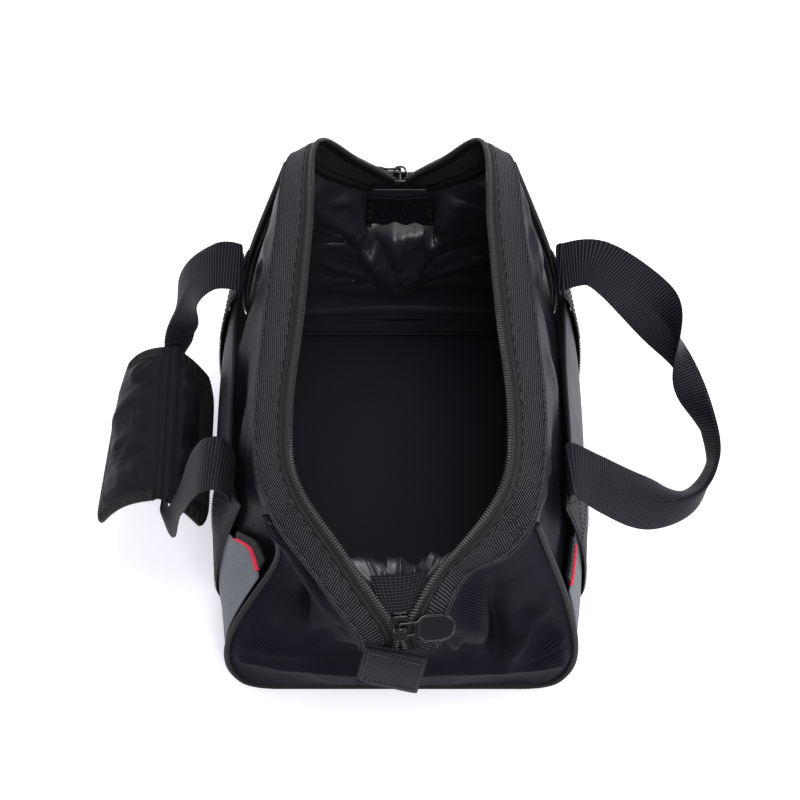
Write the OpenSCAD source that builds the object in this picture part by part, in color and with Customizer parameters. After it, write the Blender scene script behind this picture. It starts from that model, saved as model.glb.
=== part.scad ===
// Small soft duffel bag, standing with its long top zip fully open.
// Millimetres. Origin: centre of the base, on the ground. +Z up, the bag's length along Y,
// its front end at -Y, its right side at +X.

/* [Bag] */
// Length of the base, between the two end seams
base_l = 296; // [284:2:308]
// Width of the base across its widest part
base_w = 230; // [222:2:238]
// Radius of the end panels' lower corners
corner_r = 30; // [26:1:34]
// Height of the zip rim half way along the bag
rim_z = 214; // [208:1:220]
// Half width of the open mouth at mid length
mouth_half = 61; // [56:1:66]
// Thickness of the fabric panels
cloth_t = 1.6; // [1.2:0.1:2]

/* [Zip] */
// Width of the zip tape seen beside the coil
tape_w = 8; // [7:0.5:9]
// Radius of the zip coil's cord
coil_r = 1.6; // [1.4:0.1:1.8]
// Length of a zip pull
pull_l = 34; // [30:1:38]
// Width of a zip pull
pull_w = 17; // [14:1:18]

/* [Handles] */
// Width of the handle webbing
web_w = 38; // [34:1:40]
// Thickness of the handle webbing
web_t = 1.8; // [1.4:0.1:2]
// Distance from the bag's middle to each handle webbing
handle_y = 77; // [72:1:82]
// Height at which the handles leave the sides
handle_z = 174; // [170:1:178]
// Length of the padded grip along the handle
grip_l = 112; // [100:2:120]
// Width of each half of the padded grip
grip_w = 56; // [50:1:60]

/* [Pockets] */
// Height of the side pockets' upper edge at the end seams
pocket_low = 96; // [90:1:100]
// Height of the side pockets' upper edge beside the webbing
pocket_high = 130; // [124:1:134]
// How far the side pockets stand off the side panels
pocket_gap = 12; // [11:0.5:13]

/* [Hidden] */
flat_half = base_w / 2 - corner_r;
fit = 0.4;
piping_r = 2.2;
lining_in = 3.2;
lining_t = 0.6;
board_z = 4.4;
board_t = 3;

// ---- curves ----
function lerp(a, b, t) = a + (b - a) * t;
function clamp01(t) = max(0, min(1, t));
function ease(t) = t * t * (3 - 2 * t);
function unit(v) = v / max(norm(v), 1e-6);
function cubic(a, b, c, d, t) =
    0.5 * (2 * b + (c - a) * t + (2 * a - 5 * b + 4 * c - d) * t * t + (3 * b - a - 3 * c + d) * t * t * t);
// a smooth curve through the points, u from 0 to 1
function spline(pts, u) =
    let (n = len(pts) - 1, k = max(0, min(floor(u * n), n - 1)), t = u * n - k,
         before = k > 0 ? pts[k - 1] : 2 * pts[0] - pts[1],
         after = k + 2 <= n ? pts[k + 2] : 2 * pts[n] - pts[n - 1])
    cubic(before, pts[k], pts[k + 1], after, t);
function steps(n) = [for (i = [0 : n]) i / n];

// ---- the bag's shape ----
// Rim stations from the rear end stop round to the front end stop, on the right:
// the coil's line, and the outer edge of the webbing band that the zip is sewn to.
rim = [
    [2.3, base_l / 2 + 21, 143], [3.8, base_l / 2 + 15, 156], [28, base_l / 2 + 6, 188],
    [54, base_l / 2 - 8, rim_z + 9], [mouth_half - 4, 78, rim_z + 4], [mouth_half, 8, rim_z],
    [mouth_half + 5, -60, rim_z - 2], [mouth_half, 42 - base_l / 2, rim_z - 10], [33, 6 - base_l / 2, 180],
    [3.8, -28 - base_l / 2, 155], [2.3, -37 - base_l / 2, 143]];
band = [
    [23, base_l / 2 + 22, 141], [25, base_l / 2 + 16, 149], [48, base_l / 2 + 8, 171],
    [74, base_l / 2 + 1, 196], [mouth_half + 21, 84, 197], [mouth_half + 26, 8, 197],
    [mouth_half + 28, -62, 196], [mouth_half + 19, 27 - base_l / 2, 188], [49, -6 - base_l / 2, 164],
    [25, -30 - base_l / 2, 146], [23, -36 - base_l / 2, 139]];
u_rear = 0.3;
u_front = 0.7;

// Levels of the sides: height, half width at the end seams, half width at mid length,
// how far the front and the rear seam stand beyond the base's ends, and how much further
// the middle of an end panel swells.
levels = [
    [0, flat_half, flat_half, 0, 0, 0],
    [corner_r * 0.29, flat_half + corner_r * 0.7, flat_half + corner_r * 0.7, -2, -1, 4],
    [corner_r + 6, base_w / 2, base_w / 2 + 2, -8, -3, 14],
    [95, base_w / 2 - 9, base_w / 2 + 2, -17, -3, 20],
    [150, base_w / 2 - 25, base_w / 2 - 8, -23, -1, 26]];
n_levels = len(levels);

function bow(s) = 1 - pow(abs(2 * s - 1), 2.4);
// s runs from the rear seam to the front seam, v from the base to the band
function side_point(s, v) =
    spline(concat([for (k = levels)
        [lerp(k[1], k[2], bow(s)), lerp(base_l / 2 + k[4], -base_l / 2 - k[3], s), k[0]]],
        [spline(band, lerp(u_rear, u_front, s))]), v);
// the part of v at which the side reaches a height
function side_v(z) =
    z < levels[1][0] ? z / levels[1][0] / n_levels :
    z < levels[2][0] ? (1 + (z - levels[1][0]) / (levels[2][0] - levels[1][0])) / n_levels :
    z < 95 ? (2 + (z - levels[2][0]) / (95 - levels[2][0])) / n_levels :
    z < 150 ? (3 + (z - 95) / 55) / n_levels : (4 + (z - 150) / 47) / n_levels;

// p runs across an end panel from -1 to 1, v from the base to the band; e is -1 at the front
notch = 0.27;
function end_top(p, e) =
    let (a = abs(p), stop = e < 0 ? band[10] : band[0],
         u = lerp(e < 0 ? 1 : 0, e < 0 ? u_front : u_rear, (a - notch) / (1 - notch)),
         q = a < notch ? [stop[0] * a / notch, stop[1], stop[2]] : spline(band, u))
    [p < 0 ? -q[0] : q[0], q[1], q[2]];
function end_point(p, v, e) =
    spline(concat([for (i = [0 : 3])
        let (k = levels[i], out = e < 0 ? k[3] : k[4], a = 1 - abs(p))
        [p * k[1], e * (base_l / 2 + out + k[5] * (1 - p * p)), k[0] * (1 - [0, 0, 0.1, 0.3][i] * a)]],
        [end_top(p, e)]), v);

// ---- closed thin solids from a grid of points ----
function grid_normal(g, i, j) =
    let (a = g[min(i + 1, len(g) - 1)][j] - g[max(i - 1, 0)][j],
         b = g[i][min(j + 1, len(g[0]) - 1)] - g[i][max(j - 1, 0)])
    unit(cross(a, b));
function shifted(g, d) =
    [for (i = [0 : len(g) - 1]) [for (j = [0 : len(g[0]) - 1]) g[i][j] + d * grid_normal(g, i, j)]];
function flat_list(g) = [for (row = g) for (q = row) q];
function quad(a, b, c, d) = [[a, c, b], [a, d, c]];

// the solid between a grid moved by near and the same grid moved by far along its normals
module sheet(g, near, far) {
    n = len(g);
    m = len(g[0]);
    k = n * m;
    faces = [
        for (i = [0 : n - 2]) for (j = [0 : m - 2])
            for (f = concat(
                quad(i * m + j, i * m + j + 1, (i + 1) * m + j + 1, (i + 1) * m + j),
                quad(k + i * m + j, k + (i + 1) * m + j, k + (i + 1) * m + j + 1, k + i * m + j + 1))) f,
        for (j = [0 : m - 2])
            for (f = concat(
                quad(j, k + j, k + j + 1, j + 1),
                quad((n - 1) * m + j, (n - 1) * m + j + 1, k + (n - 1) * m + j + 1, k + (n - 1) * m + j))) f,
        for (i = [0 : n - 2])
            for (f = concat(
                quad(i * m, (i + 1) * m, k + (i + 1) * m, k + i * m),
                quad(i * m + m - 1, k + i * m + m - 1, k + (i + 1) * m + m - 1, (i + 1) * m + m - 1))) f];
    polyhedron(concat(flat_list(shifted(g, near)), flat_list(shifted(g, far))), faces, convexity = 4);
}

// a round cord swept along points
module cord(path, r, sides = 8) {
    n = len(path);
    rings = [for (i = [0 : n - 1])
        let (t = unit(path[min(i + 1, n - 1)] - path[max(i - 1, 0)]),
             side = unit(cross(t, abs(t[2]) > 0.9 ? [1, 0, 0] : [0, 0, 1])), up = cross(side, t))
        for (k = [0 : sides - 1])
            path[i] + r * (cos(360 * k / sides) * side + sin(360 * k / sides) * up)];
    faces = concat(
        [[for (k = [sides - 1 : -1 : 0]) k]],
        [[for (k = [0 : sides - 1]) (n - 1) * sides + k]],
        [for (i = [0 : n - 2]) for (k = [0 : sides - 1])
            for (f = quad(i * sides + k, (i + 1) * sides + k, (i + 1) * sides + (k + 1) % sides,
                i * sides + (k + 1) % sides)) f]);
    polyhedron(rings, faces, convexity = 6);
}

// a flat strap along points, with its width direction at each point
module strap(path, across, width, thick, n = 30) {
    pts = [for (u = steps(n)) spline(path, u)];
    g = [for (i = [0 : n])
        let (t = unit(pts[min(i + 1, n)] - pts[max(i - 1, 0)]), a = spline(across, i / n),
             w = unit(a - (a * t) * t) * spline(width, i / n) / 2)
        [pts[i] - w, pts[i] + w]];
    sheet(g, -thick / 2, thick / 2);
}

module both_ways(right) {
    if (right) children();
    else mirror([1, 0, 0]) children();
}

// ---- base ----
module bottom_panel() {
    color([0.07, 0.07, 0.08])
        translate([-flat_half + fit, -base_l / 2 + 5, 0])
            cube([2 * (flat_half - fit), base_l - 10, cloth_t]);
}

module base_board() {
    cut = 12;
    half = [flat_half + 2, base_l / 2 - 12];
    color([0.05, 0.05, 0.06])
        translate([0, 0, board_z])
            linear_extrude(board_t)
                intersection() {
                    square(2 * half, center = true);
                    rotate(45)
                        square((half[0] + half[1] - cut) * sqrt(2), center = true);
                }
}

// ---- walls ----
end_rows = [0.004, 0.04, 0.09, 0.14, 0.2, 0.28, 0.4, 0.52, 0.64, 0.76, 0.88, 0.985];
module end_panel(e) {
    ps = [for (i = [-8 : 8]) i / 8 * 0.975];
    sheet([for (v = end_rows) [for (p = ps) end_point(p, v, e) + [0, 0, piping_r * 2 * (1 - v)]]],
        e < 0 ? 0 : -cloth_t, e < 0 ? cloth_t : 0);
}
module front_end_panel() {
    color([0.06, 0.06, 0.07]) end_panel(-1);
}
module rear_end_panel() {
    color([0.06, 0.06, 0.07]) end_panel(1);
}

// how far the main side wall is set in behind the pockets
wall_in = 1.4;
function set_in(z) = (pocket_gap / 2 - wall_in) * clamp01((z - 8) / 30) * clamp01((180 - z) / 20);
function moved_in(g) = [for (row = g) [for (q = row) q - [set_in(q[2]), 0, 0]]];
side_s = [for (i = [0 : 14]) lerp(0.016, 0.984, i / 14)];
module side_panel(right) {
    vs = [for (i = [0 : 13]) lerp(0.035, 0.985, i / 13)];
    both_ways(right)
        sheet(moved_in([for (s = side_s) [for (v = vs) side_point(s, v)]]), wall_in, wall_in + cloth_t);
}
module left_side_panel() {
    color([0.08, 0.08, 0.09]) side_panel(false);
}
module right_side_panel() {
    color([0.08, 0.08, 0.09]) side_panel(true);
}

// ---- side pockets ----
// the part of s at which the side, at height v, reaches y
function s_at(y, v) = let (a = side_point(0, v)[1], b = side_point(1, v)[1]) (a - y) / (a - b);
web_level = side_v(112);
s_web = [s_at(handle_y, web_level), s_at(-handle_y, web_level)];
half_web = web_w / 2 / (base_l - 20);
function pocket_out(s, z) = pocket_gap / 2 * clamp01(z / 40) * clamp01((176 - z) / 18) * pow(bow(s), 0.5);
function pocket_point(s, v) = side_point(s, v) + [pocket_out(s, side_point(s, v)[2]), 0, 0];
// height of the pocket panel's upper edge
function pocket_top(s) =
    s < s_web[0] ? lerp(pocket_high, pocket_low, pow(1 - s / s_web[0], 0.6)) :
    s > s_web[1] ? lerp(pocket_high, pocket_low, pow((s - s_web[1]) / (1 - s_web[1]), 0.6)) :
    pocket_low;
pocket_s = concat([for (i = [0 : 5]) lerp(0.02, s_web[0], i / 5)],
    [for (i = [0 : 6]) lerp(s_web[0] + 0.004, s_web[1] - 0.004, i / 6)],
    [for (i = [0 : 5]) lerp(s_web[1], 0.98, i / 5)]);
module pocket_panel(right) {
    both_ways(right)
        sheet([for (s = pocket_s) [for (t = steps(9))
            pocket_point(s, lerp(0.06, side_v(pocket_top(s)), t))]], 0, 1);
}
module left_pocket_panel() {
    color([0.42, 0.43, 0.45]) pocket_panel(false);
}
module right_pocket_panel() {
    color([0.42, 0.43, 0.45]) pocket_panel(true);
}

centre_pocket_top = 154;
module centre_pocket(right) {
    both_ways(right)
        sheet([for (i = [0 : 6]) [for (t = steps(4))
            pocket_point(lerp(s_web[0] + 0.004, s_web[1] - 0.004, i / 6),
                lerp(side_v(pocket_low + 1), side_v(centre_pocket_top), t))]], 0, 1);
}
module left_centre_pocket() {
    color([0.08, 0.08, 0.09]) centre_pocket(false);
}
module right_centre_pocket() {
    color([0.08, 0.08, 0.09]) centre_pocket(true);
}

// the bays where the pocket's slanted upper edge is bound, clear of the webbing
bays = [[0.03, s_web[0] - half_web - 0.01], [s_web[1] + half_web + 0.01, 0.97]];
function edge_path(bay, rise, out) =
    [for (t = steps(9)) let (s = lerp(bay[0], bay[1], t), z = pocket_top(s) + rise)
        pocket_point(s, side_v(z)) + [out, 0, 0]];
module pocket_binding(right) {
    both_ways(right)
        for (bay = bays)
            sheet([for (t = steps(9)) let (s = lerp(bay[0], bay[1], t), z = pocket_top(s))
                [pocket_point(s, side_v(z + 3.6)), pocket_point(s, side_v(z + 10))]], -0.3, 1.5);
}
module left_pocket_binding() {
    color([0.04, 0.04, 0.045]) pocket_binding(false);
}
module right_pocket_binding() {
    color([0.04, 0.04, 0.045]) pocket_binding(true);
}
module pocket_piping(right) {
    both_ways(right)
        for (bay = bays)
            cord(edge_path(bay, 1.9, -0.4), 1.1, 6);
}
module left_pocket_piping() {
    color([0.75, 0.05, 0.12]) pocket_piping(false);
}
module right_pocket_piping() {
    color([0.75, 0.05, 0.12]) pocket_piping(true);
}

// ---- end piping ----
function seam_half(e) = [for (i = [0 : 16])
    let (q = end_point(1, lerp(0.985, 0, i / 16), e)) [q[0] + 0.4, q[1], max(q[2], piping_r)]];
function seam_path(e) = let (half = seam_half(e), n = len(half))
    concat(half, [for (i = [1 : 5]) let (x = lerp(flat_half, -flat_half, i / 6))
        [x, half[n - 1][1], piping_r]],
        [for (i = [n - 1 : -1 : 0]) [-half[i][0], half[i][1], half[i][2]]]);
module front_piping() {
    color([0.03, 0.03, 0.03]) cord(seam_path(-1), piping_r);
}
module rear_piping() {
    color([0.03, 0.03, 0.03]) cord(seam_path(1), piping_r);
}

// ---- zip ----
zip_u = steps(44);
function across_rim(u, f) = lerp(spline(rim, u), spline(band, u), f);
function rim_width(u) = norm(spline(rim, u) - spline(band, u));
module zip_band(right) {
    both_ways(right)
        sheet([for (u = zip_u) [for (t = steps(3))
            across_rim(u, lerp((tape_w + 0.6) / rim_width(u), 0.985, t))]], -0.4, 1.3);
}
module left_zip_band() {
    color([0.1, 0.1, 0.11]) zip_band(false);
}
module right_zip_band() {
    color([0.1, 0.1, 0.11]) zip_band(true);
}
module zip_tape(right) {
    both_ways(right)
        sheet([for (u = zip_u) [for (w = [coil_r + 0.35, tape_w])
            across_rim(u, w / rim_width(u))]], 0, 0.8);
}
module left_zip_tape() {
    color([0.06, 0.06, 0.07]) zip_tape(false);
}
module right_zip_tape() {
    color([0.06, 0.06, 0.07]) zip_tape(true);
}
module zip_coil(right) {
    both_ways(right)
        cord([for (u = steps(60)) spline(rim, u)], coil_r, 6);
}
module left_zip_coil() {
    color([0.05, 0.05, 0.05]) zip_coil(false);
}
module right_zip_coil() {
    color([0.05, 0.05, 0.05]) zip_coil(true);
}

// ---- sliders and pulls ----
// The slider's own frame: its outward normal is +Z and the zip opens towards +Y.
slider_at = [[0, -28 - base_l / 2, 155], [0, base_l / 2 + 15, 156]];
slider_tilt = [44, 66];
bridge_z = 6.2;
pull_tilt = [14, 0];
module at_slider(e) {
    translate(slider_at[e < 0 ? 0 : 1])
        rotate([0, 0, e < 0 ? 0 : 180])
            rotate([slider_tilt[e < 0 ? 0 : 1], 0, 0])
                children();
}
module slider_plate() {
    hull() {
        translate([-5, -1, 0]) cube([10, 8, 1.4]);
        translate([-3.6, -8, 0]) cube([7.2, 3, 1.4]);
    }
}
module slider(e) {
    at_slider(e) {
        translate([0, 0, 2.4]) slider_plate();
        translate([0, 0, -3.8]) slider_plate();
        translate([-1, 3.4, -2.5]) cube([2, 3.2, 5]);
        for (side = [-1, 1])
            translate([side * 3.6 - 0.7, -1.4, 3.6]) cube([1.4, 2.8, 5.2]);
        translate([-4.3, -1.4, 8]) cube([8.6, 2.8, 1.3]);
    }
}
module front_slider() {
    color([0.3, 0.3, 0.32]) slider(-1);
}
module rear_slider() {
    color([0.3, 0.3, 0.32]) slider(1);
}
// the pull turns about its root bar, which passes under the slider's bridge
module pull(e) {
    eye = 5.6;
    at_slider(e)
        translate([0, 0, bridge_z])
            rotate([0, pull_tilt[e < 0 ? 0 : 1], 0]) {
                rotate([90, 0, 0])
                    cylinder(r = 0.8, h = eye + 1, center = true, $fn = 24);
                for (side = [-1, 1])
                    translate([0, side * (eye / 2 + 0.8) - 0.8, -0.8]) cube([9, 1.6, 1.6]);
                translate([8.4, -eye / 2 - 1.6, -0.8]) cube([3, eye + 3.2, 1.6]);
                translate([0, 0, -0.8])
                    linear_extrude(1.6)
                        hull() {
                            translate([12.2, 0]) square([2, eye + 3.2], center = true);
                            translate([pull_l - pull_w / 2, 0]) circle(d = pull_w, $fn = 40);
                        }
            }
}
module front_pull() {
    color([0.2, 0.2, 0.21]) pull(-1);
}
module rear_pull() {
    color([0.2, 0.2, 0.21]) pull(1);
}

// ---- webbing tabs at the zip's ends ----
grab_top = [[-3, -42 - base_l / 2, 146], [0, base_l / 2 + 28, 145]];
grab_foot = [[-7, -47 - base_l / 2, 112], [0, base_l / 2 + 32, 110]];
module grab_tab(e) {
    i = e < 0 ? 0 : 1;
    skew = e < 0 ? [1, -0.1, -0.13] : [1, 0, 0];
    strap([grab_top[i], lerp(grab_top[i], grab_foot[i], 0.5) + [0, e, 0], grab_foot[i]],
        [skew, skew], [web_w, web_w], 2 * web_t, 4);
}
module front_grab_tab() {
    color([0.05, 0.05, 0.06]) grab_tab(-1);
}
module rear_grab_tab() {
    color([0.05, 0.05, 0.06]) grab_tab(1);
}
module front_inner_tab() {
    route = [[0, -21 - base_l / 2, 153.5], [0, -9 - base_l / 2, 157.5], [0, 3 - base_l / 2, 160.5]];
    color([0.08, 0.08, 0.09]) strap(route, [[1, 0, 0], [1, 0, 0]], [web_w * 0.5, web_w * 0.75, web_w], web_t, 6);
}
module rear_inner_tab() {
    half_p = 0.24;
    color([0.08, 0.08, 0.09])
        sheet([for (v = [0.8, 0.86, 0.92, 0.97]) [for (i = [-2 : 2]) end_point(i / 2 * half_p, v, 1)]],
            -6.2, -5);
}

// ---- lining ----
// The front lining is slack: it spans the narrow end of the mouth as a web, just below the
// coils, and falls from the web's lip to the base. p runs across it, w from the rim down.
web_end = 0.72;
web_mouth = 35;
function web_rim(p) = let (q = spline(rim, lerp(1, 0.72, abs(p)))) [p < 0 ? -q[0] : q[0], q[1], q[2] - 7];
function web_lip(p) = lerp(web_rim(p) - [0, 0, 14],
    [web_mouth * p / web_end, 18 - base_l / 2, 150], ease(clamp01((1 - abs(p)) / (1 - web_end))));
function slack_point(p, w) =
    let (swell = 1 - p * p, low = [p * (flat_half - 4), 9 - base_l / 2, 9],
         foot = [p * 84, 10.4 - base_l / 2 - 4 * swell, 42],
         fall = [p * 86, 24 - base_l / 2 - 20 * swell, 88])
    spline([web_rim(p), lerp(web_rim(p), web_lip(p), 0.5), web_lip(p), fall, foot, low], w);
module front_lining() {
    color([0.03, 0.03, 0.04])
        sheet([for (w = steps(15)) [for (i = [-8 : 8]) slack_point(i / 8, w)]], 0, lining_t);
}
module rear_lining() {
    color([0.03, 0.03, 0.04])
        sheet([for (v = [0.16, 0.24, 0.34, 0.45, 0.56, 0.68, 0.8, 0.9, 0.97])
            [for (i = [-6 : 6]) end_point(i / 6 * 0.93, v, 1)]],
            -lining_in - lining_t, -lining_in);
}
module side_lining(right) {
    both_ways(right)
        sheet(moved_in([for (i = [0 : 12]) [for (k = [0 : 9])
            side_point(lerp(0.045, 0.955, i / 12), lerp(0.3, 0.965, k / 9))]]),
            wall_in + lining_in, wall_in + lining_in + lining_t);
}
module left_lining() {
    color([0.03, 0.03, 0.04]) side_lining(false);
}
module right_lining() {
    color([0.03, 0.03, 0.04]) side_lining(true);
}

// ---- webbing sewn down the sides, and the two handles ----
module side_webbing(right) {
    both_ways(right)
        for (y = [handle_y, -handle_y])
            sheet([for (i = [1, 0, -1]) [for (t = steps(12))
                let (v = lerp(0.07, side_v(handle_z - 10), t))
                pocket_point(s_at(y + i * web_w / 2, v), v)]],
                -0.8 - web_t, -0.8);
}
module left_webbing() {
    color([0.06, 0.06, 0.07]) side_webbing(false);
}
module right_webbing() {
    color([0.06, 0.06, 0.07]) side_webbing(true);
}

// where the handle webbing leaves the side
leave_x = 104;
right_route = [[leave_x, handle_y, handle_z], [131, 74, 178], [161, 46, 172], [186, 14, 156],
    [199, -19, 137], [203, -42, 120], [192, -64, 110], [163, -76, 122], [127, -77, 152],
    [leave_x, -handle_y, handle_z]];
right_across = [[0, 1, 0], [0.15, 1, 0], [0.6, 0.7, 0.3], [0.4, 0.1, 0.9], [0.3, -0.1, 0.95],
    [0.2, -0.1, 0.97], [0.1, 0.2, 0.97], [0, 0.6, 0.8], [0, 0.95, 0.3], [0, 1, 0]];
left_route = [[-leave_x, handle_y, handle_z], [-122, 77, 172], [-140, 75, 154], [-149, 71, 128],
    [-152.5, 68, 108], [-155.5, 53, 90], [-156, 20, 88.5], [-156, -10, 87], [-156, -40, 84],
    [-156, -56, 83.5], [-155.5, -65, 85], [-152.5, -71.5, 89.5], [-148.5, -73.5, 98], [-144.5, -73.5, 111],
    [-140, -73.5, 127], [-135, -74, 144], [-129, -75, 161], [-122, -75.5, 173], [-113, -76, 177],
    [-leave_x, -handle_y, handle_z]];
left_across = [[0, 1, 0], [0, 1, 0], [-0.35, 0.93, -0.1], [-0.8, 0.6, 0], [-0.7, 0.3, 0.6],
    [-0.1, 0, 0.99], [0, 0, 1], [0, 0, 1], [0, 0, 1],
    [-0.1, 0, 1], [-0.15, 0.15, 0.97], [-0.2, 0.5, 0.85], [-0.15, 0.8, 0.55],
    [-0.1, 0.97, 0.2], [0, 1, 0], [0, 1, 0], [0, 1, 0], [0, 1, 0], [0, 1, 0], [0, 1, 0]];
folded = web_w / 2;
right_width = [web_w, web_w, web_w, 26, folded, folded, 26, web_w, web_w, web_w];
left_width = [web_w, web_w, web_w, 32, 22, folded, folded, folded, folded, folded, folded, folded, folded,
    22, 28, 36, web_w, web_w, web_w, web_w];
module left_handle() {
    color([0.06, 0.06, 0.07]) strap(left_route, left_across, left_width, web_t, 44);
}
module right_handle() {
    color([0.06, 0.06, 0.07]) strap(right_route, right_across, right_width, web_t, 40);
}

// ---- padded grip, draped open over the left handle ----
seam = [[-156, grip_l / 2 - 2, 110], [-156, -2 - grip_l / 2, 99]];
outer_edge = [[-156 - grip_w * 0.68, grip_l / 2, 70], [-156 - grip_w * 0.86, -3 - grip_l / 2, 60]];
inner_edge = [[-131, grip_l / 2 - 2, 63], [-131, -2 - grip_l / 2, 52]];
pad_t = 5;
function flap_point(edge, a, b) =
    lerp(lerp(seam[0], seam[1], a), lerp(edge[0], edge[1], a), b) + [0, 0, 5 * sin(180 * b)];
module grip_core() {
    color([0.05, 0.05, 0.055])
        sheet([for (a = [0, 0.25, 0.5, 0.75, 1]) [for (x = [-4, 0, 4])
            lerp(seam[0], seam[1], a) + [x, 0, 1.4 - abs(x) * 0.4]]], -1, 1);
}
module flap(edge, from_b, near, far) {
    sheet([for (a = steps(8)) [for (b = steps(6)) flap_point(edge, a, lerp(from_b, 1, b))]], near, far);
}
module grip_outer_flap() {
    color([0.06, 0.06, 0.065]) flap(outer_edge, 0.18, -pad_t / 2, pad_t / 2);
}
module grip_inner_flap() {
    color([0.06, 0.06, 0.065]) flap(inner_edge, 0.2, -pad_t / 2, pad_t / 2);
}
module closure_strip(edge, face) {
    sheet([for (a = [0.12, 0.37, 0.63, 0.88]) [for (b = [0.66, 0.78, 0.9]) flap_point(edge, a, b)]],
        face * (pad_t / 2 + 0.9) - 0.7, face * (pad_t / 2 + 0.9) + 0.7);
}
module grip_hook_strip() {
    color([0.03, 0.03, 0.03]) closure_strip(outer_edge, 1);
}
module grip_loop_strip() {
    color([0.03, 0.03, 0.03]) closure_strip(inner_edge, 1);
}

bottom_panel();
base_board();
front_end_panel();
rear_end_panel();
left_side_panel();
right_side_panel();
left_pocket_panel();
right_pocket_panel();
left_centre_pocket();
right_centre_pocket();
left_pocket_binding();
right_pocket_binding();
left_pocket_piping();
right_pocket_piping();
front_piping();
rear_piping();
left_zip_band();
right_zip_band();
left_zip_tape();
right_zip_tape();
left_zip_coil();
right_zip_coil();
front_slider();
rear_slider();
front_pull();
rear_pull();
front_grab_tab();
rear_grab_tab();
front_inner_tab();
rear_inner_tab();
front_lining();
rear_lining();
left_lining();
right_lining();
left_webbing();
right_webbing();
left_handle();
right_handle();
grip_core();
grip_outer_flap();
grip_inner_flap();
grip_hook_strip();
grip_loop_strip();
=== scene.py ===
"""Looks of a small soft duffel bag that stands with its long top zip open.

Lengths are millimetres in the CAD frame: origin at the centre of the base on the ground, +Z up,
the front end at -Y and the right side at +X. Meshes are written in metres.
"""
import math

import bpy
import numpy as np
from mathutils import Matrix, Vector


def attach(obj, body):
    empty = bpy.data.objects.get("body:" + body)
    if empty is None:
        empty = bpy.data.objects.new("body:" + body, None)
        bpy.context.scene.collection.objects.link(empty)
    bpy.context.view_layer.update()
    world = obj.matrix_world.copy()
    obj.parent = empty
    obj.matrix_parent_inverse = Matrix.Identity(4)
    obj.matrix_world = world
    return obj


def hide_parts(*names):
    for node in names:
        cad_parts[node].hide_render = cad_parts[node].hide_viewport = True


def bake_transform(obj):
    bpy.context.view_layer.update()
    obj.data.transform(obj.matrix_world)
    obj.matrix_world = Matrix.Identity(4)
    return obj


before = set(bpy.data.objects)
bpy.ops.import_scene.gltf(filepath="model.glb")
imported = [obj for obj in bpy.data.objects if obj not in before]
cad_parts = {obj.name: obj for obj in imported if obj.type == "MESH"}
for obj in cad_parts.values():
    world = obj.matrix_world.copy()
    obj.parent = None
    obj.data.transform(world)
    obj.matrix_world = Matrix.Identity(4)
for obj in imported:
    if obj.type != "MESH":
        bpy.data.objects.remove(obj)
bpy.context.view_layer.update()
MM = 0.001

# ---- driving sizes, as in the CAD source ----
BASE_L = 296.0
BASE_W = 230.0
CORNER_R = 30.0
RIM_Z = 214.0
MOUTH_HALF = 61.0
TAPE_W = 8.0
COIL_R = 1.6
PULL_L = 34.0
PULL_W = 17.0
WEB_W = 38.0
WEB_T = 1.8
RIB_PITCH = 1.9
HANDLE_Y = 77.0
HANDLE_Z = 174.0
GRIP_L = 112.0
GRIP_W = 56.0
POCKET_LOW = 96.0
POCKET_HIGH = 130.0
POCKET_GAP = 12.0
CENTRE_TOP = 154.0
PIPING_R = 2.2
LINING_IN = 3.2
WALL_IN = 1.4
CLOTH_T = 1.2
LINING_T = 0.6
BAND_Z = 197.0
END = BASE_L / 2
FLAT = BASE_W / 2 - CORNER_R
RIGHT, LEFT = 1, -1
FRONT, REAR = -1, 1
SIDE_WORD = {RIGHT: "right", LEFT: "left"}
END_WORD = {FRONT: "front", REAR: "rear"}


# ---- curves and small tools ----
def lerp(a, b, t):
    return a + (b - a) * t


def clamp01(t):
    return np.clip(t, 0, 1)


def smooth(t):
    t = clamp01(t)
    return t * t * (3 - 2 * t)


def unit(v):
    return v / np.maximum(np.linalg.norm(v, axis=-1, keepdims=True), 1e-9)


def xyz(x, y, z):
    return np.stack(np.broadcast_arrays(x, y, z), axis=-1).astype(float)


def axis0(start, end, count):
    """Evenly spaced numbers along a grid's first axis."""
    return np.linspace(start, end, count)[:, None]


def axis1(start, end, count):
    """Evenly spaced numbers along a grid's second axis."""
    return np.linspace(start, end, count)[None, :]


def spline(points, u):
    """A smooth curve through the points, u from 0 to 1. A point may itself be a grid of points."""
    u = np.asarray(u, float)
    size = np.shape(points[0])[-1] if np.ndim(points[0]) else 1
    rows = np.stack([np.broadcast_to(np.asarray(p, float), u.shape + (size,)) for p in points])
    rows = np.concatenate([2 * rows[:1] - rows[1:2], rows, 2 * rows[-1:] - rows[-2:-1]])
    n = len(points) - 1
    k = np.clip(np.floor(u * n).astype(int), 0, n - 1)
    t = (u * n - k)[..., None]
    a, b, c, d = (np.take_along_axis(rows, (k + i)[None, ..., None], 0)[0] for i in range(4))
    return 0.5 * (2 * b + (c - a) * t + (2 * a - 5 * b + 4 * c - d) * t ** 2
                  + (3 * b - a - 3 * c + d) * t ** 3)


def spaced(path, step):
    """The same path with its points evenly spaced, and their distances along it."""
    path = np.asarray(path, float)
    along = path_length(path)
    at = np.linspace(0, along[-1], max(2, int(round(along[-1] / step)) + 1))
    return read(path, along, at), at


def path_length(path):
    """The distance along a path to each of its points."""
    return np.concatenate([[0], np.cumsum(np.linalg.norm(np.diff(path, axis=0), axis=1))])


def read(table, where, at):
    """Rows of a table that is known at where, read at other places."""
    return np.stack([np.interp(at, where, table[:, i]) for i in range(table.shape[1])], axis=1)


def tangents(path):
    return unit(np.gradient(path, axis=0))


def normals(grid):
    return unit(np.cross(np.gradient(grid, axis=0), np.gradient(grid, axis=1)))


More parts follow.
